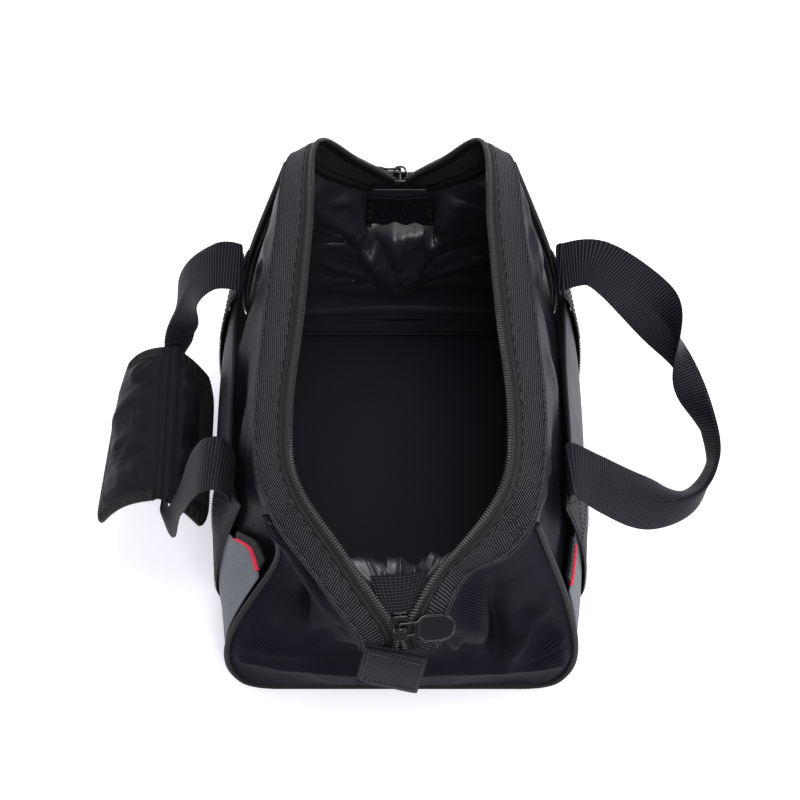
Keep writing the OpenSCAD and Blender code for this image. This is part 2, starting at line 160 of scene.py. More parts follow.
def pushed(grid, out):
    """A grid moved along its own normals."""
    return grid + out[..., None] * normals(grid)


def fade(t, near, far=None):
    """1 in the middle of 0 to 1, falling smoothly to 0 over a width at each end."""
    return smooth(t / near) * smooth((1 - t) / (far or near))


# ---- folds and crumples ----
LATTICE_SIZE = 64
LATTICE = np.random.default_rng(11).uniform(-1, 1, (12, LATTICE_SIZE, LATTICE_SIZE))


def noise(x, y, layer=0):
    """Smooth noise from -1 to 1, with features one unit apart."""
    g = LATTICE[layer]
    i, j = np.floor(x).astype(int), np.floor(y).astype(int)
    fx, fy = smooth(x - i), smooth(y - j)

    def at(a, b):
        return g[(i + a) % LATTICE_SIZE, (j + b) % LATTICE_SIZE]

    return lerp(lerp(at(0, 0), at(1, 0), fx), lerp(at(0, 1), at(1, 1), fx), fy)


def soft(x, y, size, layer=0):
    """Slack cloth: broad waves and half as many smaller ones."""
    return noise(x / size, y / size, layer) + 0.4 * noise(2.3 * x / size, 2.3 * y / size, layer + 1)


def crumpled(x, y, size, layer=0):
    """Thin coated cloth: facets that meet in sharp creases."""
    bend_x = x + 0.4 * size * noise(x / size, y / size, layer + 2)
    bend_y = y + 0.4 * size * noise(x / size + 7, y / size + 3, layer + 2)
    first = 1 - 2 * np.abs(noise(bend_x / size, bend_y / size, layer))
    second = 1 - 2 * np.abs(noise(2.1 * bend_x / size, 2.1 * bend_y / size, layer + 1))
    return first + 0.45 * second


def beside(x, y, start, end):
    """How far along the line from start to end a place is, from 0 to 1, and how far off it."""
    dx, dy = end[0] - start[0], end[1] - start[1]
    t = clamp01(((x - start[0]) * dx + (y - start[1]) * dy) / (dx * dx + dy * dy))
    return t, np.hypot(x - start[0] - t * dx, y - start[1] - t * dy)


def pleat(x, y, start, end, width, height):
    """One sharp crease from start to end, as thin stiff cloth makes."""
    t, off = beside(x, y, start, end)
    return height * np.exp(-(np.sqrt(off * off + 0.4) / width)) * (0.1 + 0.9 * np.sin(math.pi * t))


def fold(x, y, start, end, width, height):
    """One soft ridge from start to end, dying out at both; a negative height is a valley."""
    t, off = beside(x, y, start, end)
    return height * np.exp(-((off / width) ** 2)) * (0.15 + 0.85 * np.sin(math.pi * t))


# How the soft body has settled unevenly: (centre, reach, shift).
SETTLED = [((-100, -127, 122), (45, 42, 52), (22, 13, 0)), ((42, -160, 155), (25, 25, 25), (-3, 15, 3))]
SETTLED_UP_TO = -85.0


def slump(verts):
    """Moves the bag's body as SETTLED says, in front of SETTLED_UP_TO only."""
    still = smooth((SETTLED_UP_TO - verts[:, 1]) / 25)
    out = verts.copy()
    for centre, reach, shift in SETTLED:
        weight = np.exp(-np.sum(((verts - centre) / reach) ** 2, axis=1)) * still
        out += weight[:, None] * np.array(shift, float)
    return out


# ---- building meshes ----
class Shape:
    """Closed shells that make up one piece, with cloth coordinates in millimetres."""

    def __init__(self):
        self.verts, self.faces, self.corners, self.count = [], [], [], 0

    def add(self, verts, quads, corner_uv, caps=()):
        verts = np.asarray(verts, float).reshape(-1, 3)
        a, b, c, d = (verts[quads[:, i]] for i in range(4))
        volume = np.sum(a * np.cross(b, c)) + np.sum(a * np.cross(c, d))
        for cap in caps:
            ring = verts[list(cap)]
            middle = ring.mean(axis=0)
            volume += np.sum(middle * np.cross(ring, np.roll(ring, -1, axis=0)))
        if volume < 0:
            quads, corner_uv = quads[:, ::-1], corner_uv[:, ::-1]
            caps = [cap[::-1] for cap in caps]
        self.verts.append(verts)
        self.faces += (quads + self.count).tolist()
        self.corners.append(corner_uv.reshape(-1, 2))
        for cap in caps:
            self.faces.append([i + self.count for i in cap])
            self.corners.append(np.zeros((len(cap), 2)))
        self.count += len(verts)

    def mirrored(self):
        other = Shape()
        other.verts = [v * [-1, 1, 1] for v in self.verts]
        other.faces = [f[::-1] for f in self.faces]
        start, corners = 0, np.concatenate(self.corners)
        for f in self.faces:
            other.corners.append(corners[start:start + len(f)][::-1])
            start += len(f)
        other.count = self.count
        return other


def piece(name, shape, look, body="bag", replaced=(), sharp=40):
    """One named mesh, with its look, its body and the nodes it replaces."""
    mesh = bpy.data.meshes.new(name)
    verts = np.concatenate(shape.verts)
    if body == "bag":
        verts = slump(verts)
    mesh.from_pydata((verts * MM).tolist(), [], shape.faces)
    layer = mesh.uv_layers.new(name="cloth")
    layer.data.foreach_set("uv", np.concatenate(shape.corners).astype(np.float32).ravel())
    mesh.shade_smooth()
    mesh.set_sharp_from_angle(angle=math.radians(sharp))
    mesh.materials.append(LOOKS[look])
    obj = bpy.data.objects.new(name, mesh)
    bpy.context.scene.collection.objects.link(obj)
    if replaced:
        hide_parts(*replaced)
    if body:
        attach(obj, body)
    return obj


def grid_quads(n, m, wrap=False):
    cols = m if wrap else m - 1
    i, j = np.meshgrid(np.arange(n - 1), np.arange(cols), indexing="ij")
    k = (j + 1) % m
    return np.stack([i * m + j, (i + 1) * m + j, (i + 1) * m + k, i * m + k], -1).reshape(-1, 4)


def slab(shape, grid, near, far, flat=None):
    """The closed sheet between a grid moved by near and by far along its normals."""
    n, m = grid.shape[:2]
    out = normals(grid)
    near, far = (np.broadcast_to(np.asarray(d, float), (n, m))[..., None] for d in (near, far))
    if flat is None:
        flat = np.stack([along_axis(grid, 0), along_axis(grid, 1)], axis=-1)
    quads = grid_quads(n, m)
    k = n * m
    i, j = np.arange(n - 1), np.arange(m - 1)
    rims = np.concatenate([
        np.stack([i * m, (i + 1) * m, k + (i + 1) * m, k + i * m], -1),
        np.stack([i * m + m - 1, k + i * m + m - 1, k + (i + 1) * m + m - 1, (i + 1) * m + m - 1], -1),
        np.stack([j, k + j, k + j + 1, j + 1], -1),
        np.stack([(n - 1) * m + j, (n - 1) * m + j + 1, k + (n - 1) * m + j + 1, k + (n - 1) * m + j], -1)])
    faces = np.concatenate([quads[:, ::-1], quads + k, rims])
    uv = np.concatenate([flat.reshape(-1, 2)] * 2)
    shape.add(np.concatenate([(grid + near * out).reshape(-1, 3), (grid + far * out).reshape(-1, 3)]),
              faces, uv[faces])
    return shape


def along_axis(grid, axis):
    step = np.linalg.norm(np.diff(grid, axis=axis), axis=-1)
    first = np.zeros_like(np.take(step, [0], axis=axis))
    return np.cumsum(np.concatenate([first, step], axis=axis), axis=axis)


def sweep(shape, path, side, up, section):
    """A closed tube along a path: section gives each ring's offsets along side and up."""
    n = len(path)
    section = np.broadcast_to(section, (n,) + np.shape(section)[-2:])
    k = section.shape[1]
    rings = path[:, None] + section[..., :1] * side[:, None] + section[..., 1:] * up[:, None]
    quads = grid_quads(n, k, wrap=True)
    along = path_length(path)
    loop = section[0]
    around = np.concatenate([[0], np.cumsum(np.linalg.norm(np.roll(loop, -1, axis=0) - loop, axis=1))])
    row, col = quads // k, quads % k
    col[:, 2:][col[:, 2:] == 0] = k
    caps = [list(range(k))[::-1], [(n - 1) * k + i for i in range(k)]]
    shape.add(rings, quads, np.stack([along[row], around[col]], -1), caps)


def frame_along(path, hint):
    """Side and up directions along a path, with side as near as can be to the hint."""
    t = tangents(path)
    hint = np.broadcast_to(np.asarray(hint, float), path.shape)
    side = unit(hint - np.sum(hint * t, axis=1, keepdims=True) * t)
    return side, np.cross(t, side)


def strip(shape, path, hint, section):
    """A tube along a path whose section keeps its side as near as can be to the hint."""
    sweep(shape, path, *frame_along(path, hint), section)


def circle(radius, sides=8):
    a = np.arange(sides) * 2 * math.pi / sides
    return radius * np.stack([np.cos(a), np.sin(a)], axis=-1)


def rounded_bar(width, thick, sides=20, squareness=0.35):
    """A flat strap's section, with rounded edges."""
    a = np.arange(sides) * 2 * math.pi / sides
    c, s = np.cos(a), np.sin(a)
    return np.stack([width / 2 * np.sign(c) * np.abs(c) ** squareness,
                     thick / 2 * np.sign(s) * np.abs(s) ** squareness], axis=-1)


def cord(shape, path, radius, sides=8, hint=(0, 0, 1)):
    path = np.asarray(path, float)
    strip(shape, path, np.asarray(hint) + [1e-3, 2e-3, 0], circle(radius, sides))


def stitches(shape, path, lift, pitch=3.4, length=2.3, radius=0.32):
    """A row of separate thread stitches along a path, each bedded into the cloth at its ends."""
    path, _ = spaced(path, step=pitch / 4)
    if np.ndim(lift) == 2:
        lift = read(lift, np.linspace(0, 1, len(lift)), np.linspace(0, 1, len(path)))
    t, up = tangents(path), np.broadcast_to(unit(np.asarray(lift, float)), path.shape)
    for i in range(2, len(path) - 2, 4):
        a, u, d = path[i], up[i], t[i]
        side = np.cross(d, u)
        s = axis0(-1, 1, 5)
        spine = a + s * d * length / 2 + u * radius * (0.9 - 1.5 * s ** 4)
        thick = radius * np.array([0.45, 0.9, 1, 0.9, 0.45])[:, None, None]
        sweep(shape, spine, np.tile(side, (5, 1)), np.tile(u, (5, 1)), circle(1, 6)[None] * thick)


# ---- the bag's shape, as in the CAD source ----
# The right half of the zip's rim and of its band's outer edge, from the rear stop to the front.
RIM = np.array([
    [2.3, END + 21, 143], [3.8, END + 15, 156], [28, END + 6, 188], [54, END - 8, RIM_Z + 9],
    [MOUTH_HALF - 4, 78, RIM_Z + 4], [MOUTH_HALF, 8, RIM_Z], [MOUTH_HALF + 5, -60, RIM_Z - 2],
    [MOUTH_HALF, 42 - END, RIM_Z - 10], [33, 6 - END, 180], [3.8, -28 - END, 155],
    [2.3, -37 - END, 143]])
BAND = np.array([
    [23, END + 22, 141], [25, END + 16, 149], [48, END + 8, 171], [74, END + 1, 196],
    [MOUTH_HALF + 21, 84, 197], [MOUTH_HALF + 26, 8, 197], [MOUTH_HALF + 28, -62, 196],
    [MOUTH_HALF + 19, 27 - END, 188], [49, -6 - END, 164], [25, -30 - END, 146],
    [23, -36 - END, 139]])
U_REAR, U_FRONT = 0.3, 0.7
# Height, half width at the end seams and at mid length, front and rear overhang, end swell.
LEVELS = [
    [0, FLAT, FLAT, 0, 0, 0],
    [CORNER_R * 0.29, FLAT + CORNER_R * 0.7, FLAT + CORNER_R * 0.7, -2, -1, 4],
    [CORNER_R + 6, BASE_W / 2, BASE_W / 2 + 2, -8, -3, 14],
    [95, BASE_W / 2 - 9, BASE_W / 2 + 2, -17, -3, 20],
    [150, BASE_W / 2 - 25, BASE_W / 2 - 8, -23, -1, 26]]
NOTCH = 0.27


def bow(s):
    """How far a side has swelled at s: 0 at the seams, 1 at mid length."""
    return 1 - np.abs(2 * s - 1) ** 2.4


def side_point(s, v):
    """s runs from the rear seam to the front seam, v from the base to the band."""
    s, v = np.broadcast_arrays(np.asarray(s, float), np.asarray(v, float))
    rows = [xyz(lerp(k[1], k[2], bow(s)), lerp(END + k[4], -END - k[3], s), k[0]) for k in LEVELS]
    return spline(rows + [spline(BAND, lerp(U_REAR, U_FRONT, s))], v)


def side_v(z):
    """The v of a side at a height."""
    heights = [k[0] for k in LEVELS] + [BAND_Z]
    return np.interp(z, heights, np.arange(6) / 5)


def end_point(p, v, e):
    """p runs across an end panel from -1 to 1, v from the base to the band."""
    p, v = np.broadcast_arrays(np.asarray(p, float), np.asarray(v, float))
    a = np.abs(p)
    stop = BAND[10] if e < 0 else BAND[0]
    first, last = (1, U_FRONT) if e < 0 else (0, U_REAR)
    outer = spline(BAND, lerp(first, last, clamp01((a - NOTCH) / (1 - NOTCH))))
    inner = xyz(stop[0] * a / NOTCH, stop[1], stop[2])
    top = np.where(a[..., None] < NOTCH, inner, outer) * xyz(np.where(p < 0, -1, 1), 1, 1)
    rows = []
    for k, droop in zip(LEVELS, [0, 0, 0.1, 0.3]):
        out = k[3] if e < 0 else k[4]
        rows.append(xyz(p * k[1], e * (END + out + k[5] * (1 - p * p)), k[0] * (1 - droop * (1 - a))))
    return spline(rows + [top], v)


def moved_in(grid):
    """A side wall set in behind its pockets."""
    z = grid[..., 2]
    by = (POCKET_GAP / 2 - WALL_IN) * clamp01((z - 8) / 30) * clamp01((180 - z) / 20)
    return grid - by[..., None] * [1, 0, 0]


def s_at(y, v):
    """The s of a side at a y and a v."""
    rear, front = side_point(0, v)[..., 1], side_point(1, v)[..., 1]
    return (rear - y) / (rear - front)


WEB_LEVEL = side_v(112)
S_WEB = [float(s_at(HANDLE_Y, WEB_LEVEL)), float(s_at(-HANDLE_Y, WEB_LEVEL))]
HALF_WEB = WEB_W / 2 / (BASE_L - 20)
BAYS = [[0.03, S_WEB[0] - HALF_WEB - 0.01], [S_WEB[1] + HALF_WEB + 0.01, 0.97]]


def pocket_point(s, v):
    """A point on a side's pockets, which stand off the wall."""
    base = side_point(s, v)
    z = base[..., 2]
    out = POCKET_GAP / 2 * clamp01(z / 40) * clamp01((176 - z) / 18) * clamp01(bow(s)) ** 0.5
    return base + out[..., None] * [1, 0, 0]


def pocket_top(s):
    """The height of the grey pocket's slanted upper edge."""
    rear = lerp(POCKET_HIGH, POCKET_LOW, clamp01(1 - s / S_WEB[0]) ** 0.6)
    front = lerp(POCKET_HIGH, POCKET_LOW, clamp01((s - S_WEB[1]) / (1 - S_WEB[1])) ** 0.6)
    return np.where(s < S_WEB[0], rear, np.where(s > S_WEB[1], front, POCKET_LOW))


def across_rim(u, f):
    """A point across the band: u runs along the zip, f from the coil to the band's outer edge."""
    return lerp(spline(RIM, u), spline(BAND, u), np.asarray(f)[..., None])


def rim_width(u):
    return np.linalg.norm(spline(RIM, u) - spline(BAND, u), axis=-1)


WEB_END, WEB_MOUTH = 0.72, 35.0


def slack_point(p, w):
    """The front lining: p runs across it, w from the rim over the web's lip to the base."""
    p, w = np.broadcast_arrays(np.asarray(p, float), np.asarray(w, float))
    rim = spline(RIM, lerp(1, 0.72, np.abs(p))) * xyz(np.where(p < 0, -1, 1), 1, 1) - [0, 0, 7]
    spread = smooth((1 - np.abs(p)) / (1 - WEB_END))[..., None]
    lip = lerp(rim - [0, 0, 14], xyz(WEB_MOUTH * p / WEB_END, 18 - END, 150), spread)
    swell = 1 - p * p
    fall = xyz(p * 86, 24 - END - 20 * swell, 88)
    foot = xyz(p * 84, 10.4 - END - 4 * swell, 42)
    low = xyz(p * (FLAT - 4), 9 - END, 9)
    return spline([rim, lerp(rim, lip, 0.5), lip, fall, foot, low], w)


# ---- camera, floor and light ----
def put(node, **values):
    """Sets a node's inputs; an underscore in a name stands for a space."""
    for name, value in values.items():
        node.inputs[name.replace("_", " ")].default_value = value


# Each lamp's name, place, aim, size and power, in metres and watts.
LAMPS = [("overhead", (0.25, 0.35, 1.8), (0, 0.0, 0.1), (1.2, 1.0), 24),
         ("behind_camera", (0.3, -1.3, 1.7), (0, -0.05, 0.1), (0.8, 0.5), 19),
         ("left_fill", (-1.6, 0.1, 0.8), (0, 0, 0.1), (1.0, 1.0), 6),
         ("right_fill", (1.6, -0.1, 1.0), (0, 0, 0.1), (1.0, 1.0), 11)]
FLOOR_REACH = 6.0


def lamp(name, place, aim, size, power):
    data = bpy.data.lights.new(name, "AREA")
    data.shape = "RECTANGLE"
    data.size, data.size_y = size
    data.energy = power
    obj = bpy.data.objects.new(name, data)
    obj.location = place
    obj.rotation_euler = (Vector(aim) - Vector(place)).to_track_quat("-Z", "Y").to_euler()
    bpy.context.scene.collection.objects.link(obj)


def camera_and_light():
    """The photo's view, a white studio world, four soft lamps and a sheet of white paper."""
    scene = bpy.context.scene
    scene.view_settings.view_transform = "Standard"
    camera = bpy.data.objects.new("camera", bpy.data.cameras.new("camera"))
    camera.location = (0, -0.652, 1.172)
    camera.rotation_euler = (math.radians(32), 0, 0)
    camera.data.lens = 84.15
    scene.collection.objects.link(camera)
    scene.camera = camera

    world = bpy.data.worlds.new("studio")
    world.use_nodes = True
    put(world.node_tree.nodes["Background"], Color=(0.93, 0.94, 1.0, 1), Strength=0.42)
    scene.world = world

    for lamp_of in LAMPS:
        lamp(*lamp_of)

    floor = bpy.data.meshes.new("floor")
    corners = [(x * FLOOR_REACH, y * FLOOR_REACH, 0) for x, y in ((-1, -1), (1, -1), (1, 1), (-1, 1))]
    floor.from_pydata(corners, [], [(0, 1, 2, 3)])
    obj = bpy.data.objects.new("floor", floor)
    scene.collection.objects.link(obj)
    paper = bpy.data.materials.new("seamless_paper")
    paper.use_nodes = True
    put(paper.node_tree.nodes["Principled BSDF"], Base_Color=(0.9, 0.9, 0.93, 1), Roughness=0.9,
        Specular_IOR_Level=0.1, Emission_Color=(0.93, 0.92, 1.0, 1), Emission_Strength=0.38)
    floor.materials.append(paper)


# ---- materials ----
class Look:
    """A small wrapper for writing a material's nodes."""

    def __init__(self, name):
        self.material = bpy.data.materials.new(name)
        self.material.use_nodes = True
        self.tree = self.material.node_tree
        self.shader = self.tree.nodes["Principled BSDF"]
        uv = self.node("ShaderNodeUVMap")
        uv.uv_map = "cloth"
        split = self.node("ShaderNodeSeparateXYZ")
        self.link(uv.outputs["UV"], split.inputs[0])
        self.u, self.v = split.outputs[0], split.outputs[1]
        self.place = self.node("ShaderNodeTexCoord").outputs["Object"]

    def node(self, kind):
        return self.tree.nodes.new(kind)

    def link(self, a, b):
        self.tree.links.new(a, b)

    def feed(self, socket, value):
        if isinstance(value, (int, float)):
            socket.default_value = value
        else:
            self.link(value, socket)

    def math(self, kind, *values):
        node = self.node("ShaderNodeMath")
        node.operation = kind
        for socket, value in zip(node.inputs, (*values, 0.0, 0.0)):
            self.feed(socket, value)
        return node.outputs[0]

    def scaled(self, value, by, plus):
        return self.math("MULTIPLY_ADD", value, by, plus)

    def wave(self, along, pitch):
        """A sine from -1 to 1 that repeats every pitch millimetres."""
        return self.math("SINE", self.scaled(along, 2 * math.pi / pitch, 0.0))

    def noise(self, feature, detail=2.0, rough=0.5):
        """Noise from 0 to 1 with features of a size in millimetres."""
        node = self.node("ShaderNodeTexNoise")
        put(node, Scale=1 / (feature * MM), Detail=detail, Roughness=rough)
        self.link(self.place, node.inputs["Vector"])
        return node.outputs["Fac"]

    def tint(self, factor, stops):
        ramp = self.node("ShaderNodeValToRGB")
        band = ramp.color_ramp
        while len(band.elements) < len(stops):
            band.elements.new(0.5)
        for element, (at, colour) in zip(band.elements, stops):
            element.position = at
            element.color = (*colour, 1)
        self.link(factor, ramp.inputs["Fac"])
        self.link(ramp.outputs["Color"], self.shader.inputs["Base Color"])

    def bump(self, height, distance):
        node = self.node("ShaderNodeBump")
        put(node, Distance=distance * MM, Strength=1.0)
        self.link(height, node.inputs["Height"])
        self.link(node.outputs["Normal"], self.shader.inputs["Normal"])

    def gloss(self, low, high, factor):
        spread = self.node("ShaderNodeMapRange")
        put(spread, To_Min=low, To_Max=high)
        self.link(factor, spread.inputs["Value"])
        self.link(spread.outputs["Result"], self.shader.inputs["Roughness"])


def weave_height(look, kind, pitch):
    """Thread relief from 0 to 1 for one kind of cloth."""
    u, v = look.u, look.v
    if kind == "plain":
        both = look.math("MULTIPLY", look.wave(u, 2 * pitch), look.wave(v, 2 * pitch))
        return look.scaled(both, 0.5, 0.5)
    if kind == "diagonal":
        lean = look.scaled(v, 0.55, u)
        back = look.scaled(v, -1.2, u)
        both = look.math("MULTIPLY", look.wave(lean, pitch), look.wave(back, pitch * 1.45))
        return look.scaled(both, 0.5, 0.5)
    rib = look.scaled(look.wave(u, pitch), 0.5, 0.5)
    knots = look.scaled(look.wave(v, pitch * 0.8), 0.3, 0.7)
    return look.math("MULTIPLY", rib, knots)


def fabric(name, colour, kind="plain", pitch=1.1, contrast=0.5, rough=(0.5, 0.65), relief=0.14,
           sheen=0.03, patch=30.0, patchy=0.35, shine=0.22, thread_glint_gain=2.1, knee=0.5, ior=1.5):
    """A woven cloth: threads in relief, with glints painted on the thread tops and shade painted between
    them, and unevenly dyed.
    """
    look = Look(name)
    height = weave_height(look, kind, pitch)
    fibre = look.noise(pitch * 0.5, detail=1)
    broad = look.noise(patch, detail=3, rough=0.6)
    thread = look.scaled(height, contrast, (1 - contrast) / 2)
    thread = look.scaled(fibre, 0.3, thread)
    tone = look.scaled(broad, patchy, thread)
    tone = look.math("SUBTRACT", tone, patchy / 2 + 0.15)
    base = np.asarray(colour)
    # Painted light: the ramp's light end paints glints on the thread tops and its dark end paints shade in
    # the gaps between threads; the broad noise is uneven dye.
    look.tint(tone, [(0.0, base * 0.3), (knee, base), (1.0, np.minimum(base * thread_glint_gain, 1))])
    look.gloss(rough[0], rough[1], broad)
    look.bump(look.scaled(fibre, 0.25, height), relief)
    put(look.shader, IOR=ior, Specular_IOR_Level=shine, Sheen_Weight=sheen, Sheen_Roughness=0.4,
        Sheen_Tint=(*np.minimum(base * 6 + 0.25, 1), 1))
    return look.material


def gunmetal():
    """Black enamel over zinc, scuffed, with its sharp edges painted light grey as a painted highlight."""
    look = Look("gunmetal")
    edge = look.node("ShaderNodeNewGeometry").outputs["Pointiness"]
    scuff = look.noise(2.5, detail=4, rough=0.7)
    # Painted highlight: where the metal is sharply convex the colour turns light grey, standing in for the
    # glint along its edges.
    painted_edge_glint = look.scaled(scuff, 0.06, edge)
    look.tint(painted_edge_glint, [(0.0, (0.008, 0.008, 0.010)), (0.62, (0.012, 0.012, 0.015)),
              (0.74, (0.16, 0.16, 0.16))])
    look.gloss(0.16, 0.34, scuff)
    look.bump(look.noise(0.8, detail=2), 0.02)
    put(look.shader, Metallic=0.75, Coat_Weight=0.4, Coat_Roughness=0.12)
    return look.material


def coil_nylon():
    """The coil's hard satin nylon."""
    look = Look("coil_nylon")
    fine = look.noise(0.6, detail=2)
    look.tint(fine, [(0.2, (0.012, 0.012, 0.014)), (0.8, (0.035, 0.035, 0.038))])
    look.gloss(0.28, 0.42, fine)
    look.bump(fine, 0.02)
    return look.material


def looped_pile():
    """Hook-and-loop tape: a dense dull pile."""
    look = Look("looped_pile")
    pile = look.noise(0.5, detail=4, rough=0.8)
    look.tint(pile, [(0.3, (0.002, 0.002, 0.002)), (0.7, (0.011, 0.011, 0.012))])
    look.gloss(0.8, 0.95, pile)
    look.bump(pile, 0.4)
    put(look.shader, Specular_IOR_Level=0.1, Sheen_Weight=0.03)
    return look.material


def make_looks():
    return {
        "nylon": fabric("black_nylon", (0.0045, 0.0045, 0.0070), pitch=0.95, contrast=1.1, shine=0.16,
                        rough=(0.38, 0.5), relief=0.3, thread_glint_gain=5.0),
        "end_nylon": fabric("end_nylon", (0.0045, 0.0045, 0.0070), pitch=0.95, contrast=1.1, shine=0.5,
                            rough=(0.45, 0.6), relief=0.3, thread_glint_gain=5.0, ior=1.09, sheen=0.0),
        "grey": fabric("grey_polyester", (0.125, 0.132, 0.145), pitch=1.0, contrast=0.7, shine=0.2,
                       rough=(0.6, 0.75), relief=0.22, patchy=0.15),
        "board": fabric("board_cover", (0.0045, 0.0052, 0.0088), pitch=0.8, contrast=0.5, shine=0.14,
                        rough=(0.6, 0.72), relief=0.08, patch=60.0, patchy=0.3),
        "binding": fabric("binding_tape", (0.0045, 0.0045, 0.0055), "rib", pitch=1.5, contrast=0.9,
                          rough=(0.5, 0.65), relief=0.3, shine=0.25),
        "red": fabric("red_piping", (0.62, 0.008, 0.04), pitch=0.6, contrast=0.35, shine=0.3,
                      rough=(0.45, 0.6), relief=0.08, patchy=0.1),
        # The woven band's strong dotted contrast is mostly painted light: glints painted on the thread tops,
        # shade painted between them.
        "band": fabric("woven_band", (0.0038, 0.0038, 0.0044), "diagonal", pitch=2.9, contrast=1.2,
                       rough=(0.45, 0.6), relief=1.1, patchy=0.15, shine=0.07, thread_glint_gain=30.0, knee=0.5),
        "tape": fabric("zip_tape", (0.006, 0.006, 0.008), "rib", pitch=0.9, contrast=0.6,
                       rough=(0.5, 0.6), relief=0.12, shine=0.25),
        "coil": coil_nylon(),
        "metal": gunmetal(),
        "webbing": fabric("webbing", (0.006, 0.006, 0.0085), "rib", pitch=1.9, contrast=1.2,
                          rough=(0.45, 0.6), relief=0.35, patchy=0.2, shine=0.10, thread_glint_gain=7.0, knee=0.55),
        "lining": fabric("lining", (0.017, 0.017, 0.0235), pitch=0.45, contrast=0.2, shine=0.6,
                         rough=(0.30, 0.42), relief=0.03, patchy=0.25),
        "padded": fabric("padded_fabric", (0.0055, 0.0055, 0.0078), pitch=0.8, contrast=0.8,
                         rough=(0.42, 0.56), relief=0.2, shine=0.07, thread_glint_gain=3.5),
        "pile": looped_pile(),
        "thread": fabric("thread", (0.016, 0.016, 0.019), pitch=0.4, contrast=0.5, relief=0.06,
                         rough=(0.4, 0.55), patchy=0.1, shine=0.3),
    }


# ---- the walls ----
def both_sides(build, name, look, node=None, sharp=40, handed=False):
    """Makes a right piece and its left fellow; build fills the shape in right-hand form.

    A handed build is told which side it is for, because its two sides are folded differently.
    """
    for side, word in SIDE_WORD.items():
        shape = Shape()
        if handed:
            build(shape, side)
        else:
            build(shape)
        shape = shape if side == RIGHT else shape.mirrored()
        piece(f"{word}_{name}", shape, look, replaced=[f"{word}_{node}"] if node else (), sharp=sharp)


# Folds in the end panels, as (start, end, width, height) across X and up Z.
FRONT_FOLDS = [
    ((46, 146), (50, 70), 9, 6.0), ((60, 150), (63, 52), 6, -8.0), ((66, 48), (92, 104), 7, 6.0),
    ((78, 110), (90, 62), 6, -3.5), ((30, 128), (14, 92), 11, -3.5), ((-73, 126), (-68, 88), 6, -7.0),
    ((-60, 122), (-56, 88), 7, 4.0), ((-84, 110), (-88, 72), 6, 3.5), ((-76, 160), (-30, 138), 6, 6.0),
    ((-66, 148), (-30, 128), 6, -5.0), ((-40, 110), (-60, 66), 9, -2.5),
    ((-20, 84), (40, 70), 12, 2.5),
    ((84, 50), (112, 66), 3, 2.6), ((78, 44), (110, 56), 3, -2.2), ((88, 58), (104, 74), 3, -1.8),
    ((-108, 52), (-60, 58), 4, 1.6), ((-60, 30), (60, 26), 6, 1.2), ((18, 122), (26, 84), 5, -4.0),
    ((34, 116), (30, 80), 5, 4.5), ((-34, 116), (-46, 84), 6, 3.0)]
REAR_FOLDS = [
    ((-50, 140), (-46, 70), 8, 4.0), ((40, 130), (52, 74), 7, -3.5), ((-20, 60), (90, 62), 7, 2.0),
    ((64, 120), (80, 80), 7, 3.0), ((-76, 118), (-70, 76), 6, -3.0), ((-100, 58), (-30, 64), 6, 2.0)]

# The long crease across each end panel: its height at mid width, its depth, its reach above and below.
CREASE_Z, CREASE_H = 46.0, 10.0
CREASE_ABOVE, CREASE_BELOW = 22.0, 15.0


def end_cloth(e, folds, layer):
    p = axis1(-0.992, 0.992, 210)
    v = axis0(0.004, 1, 150)
    grid = end_point(p, v, e)
    grid[..., 2] += PIPING_R * 2 * (1 - v)
    x, z = grid[..., 0], grid[..., 2]
    out = 1.5 * sum(fold(x, z, *f) for f in folds)
    out += 1.1 * soft(x, z, 34, layer) + 0.3 * crumpled(x, z, 19, layer + 1)
    crease = CREASE_Z - 6 * (x / BASE_W * 2) ** 2 + 1.2 * noise(x / 40, 0 * z, 2)
    out += CREASE_H * np.exp(-np.abs(z - crease) / np.where(z > crease, CREASE_ABOVE, CREASE_BELOW))
    out *= smooth((1 - np.abs(p)) / 0.1) * smooth(v / 0.1) * smooth((1 - v) / 0.08)
    flat = np.stack([x, along_axis(grid, 0)], axis=-1)
    shape = Shape()
    slab(shape, pushed(grid, e * out), -CLOTH_T * (e > 0), CLOTH_T * (e < 0), flat)
    piece(END_WORD[e] + "_end_cloth", shape, "end_nylon", replaced=[END_WORD[e] + "_end_panel"], sharp=180)


# Folds in the upper side panels, as (start, end, width, height) along Y and up Z.
SIDE_FOLDS = {
    LEFT: [
        ((48, 182), (-14, 120), 9, 3.5), ((20, 160), (-44, 128), 7, -2.5), ((-30, 172), (-62, 138), 8, 2.5),
        ((-60, 168), (-104, 140), 7, 2.2), ((96, 188), (70, 150), 8, 2.0),
        ((-78, 176), (-112, 120), 6, -2.5), ((110, 170), (60, 176), 6, -1.5)],
    RIGHT: [
        ((140, 196), (82, 172), 5, 3.0), ((126, 180), (60, 186), 5, -2.5), ((120, 160), (70, 168), 6, 2.2),
        ((52, 190), (30, 140), 8, -2.0), ((10, 184), (-40, 150), 9, 2.2), ((-70, 176), (-112, 182), 5, 2.2),
        ((-60, 150), (-110, 120), 8, 2.5), ((-84, 186), (-110, 150), 5, -2.2)]}


def side_cloth(shape, side):
    s = axis0(0.004, 0.996, 200)
    v = axis1(0.006, 1, 130)
    grid = moved_in(side_point(s, v))
    y, z = grid[..., 1], grid[..., 2]
    out = 1.7 * sum(fold(y, z, *f) for f in SIDE_FOLDS[side])
    out += 0.8 * soft(y, z, 38, 4 if side == LEFT else 6) + 0.1 * crumpled(y, z, 16, 3)
    out *= fade(s, 0.06) * smooth((1 - v) / 0.1) * smooth((z - 60) / 40)
    flat = np.stack([y, along_axis(grid, 1)], axis=-1)
    slab(shape, pushed(grid, -out), WALL_IN, WALL_IN + CLOTH_T, flat)


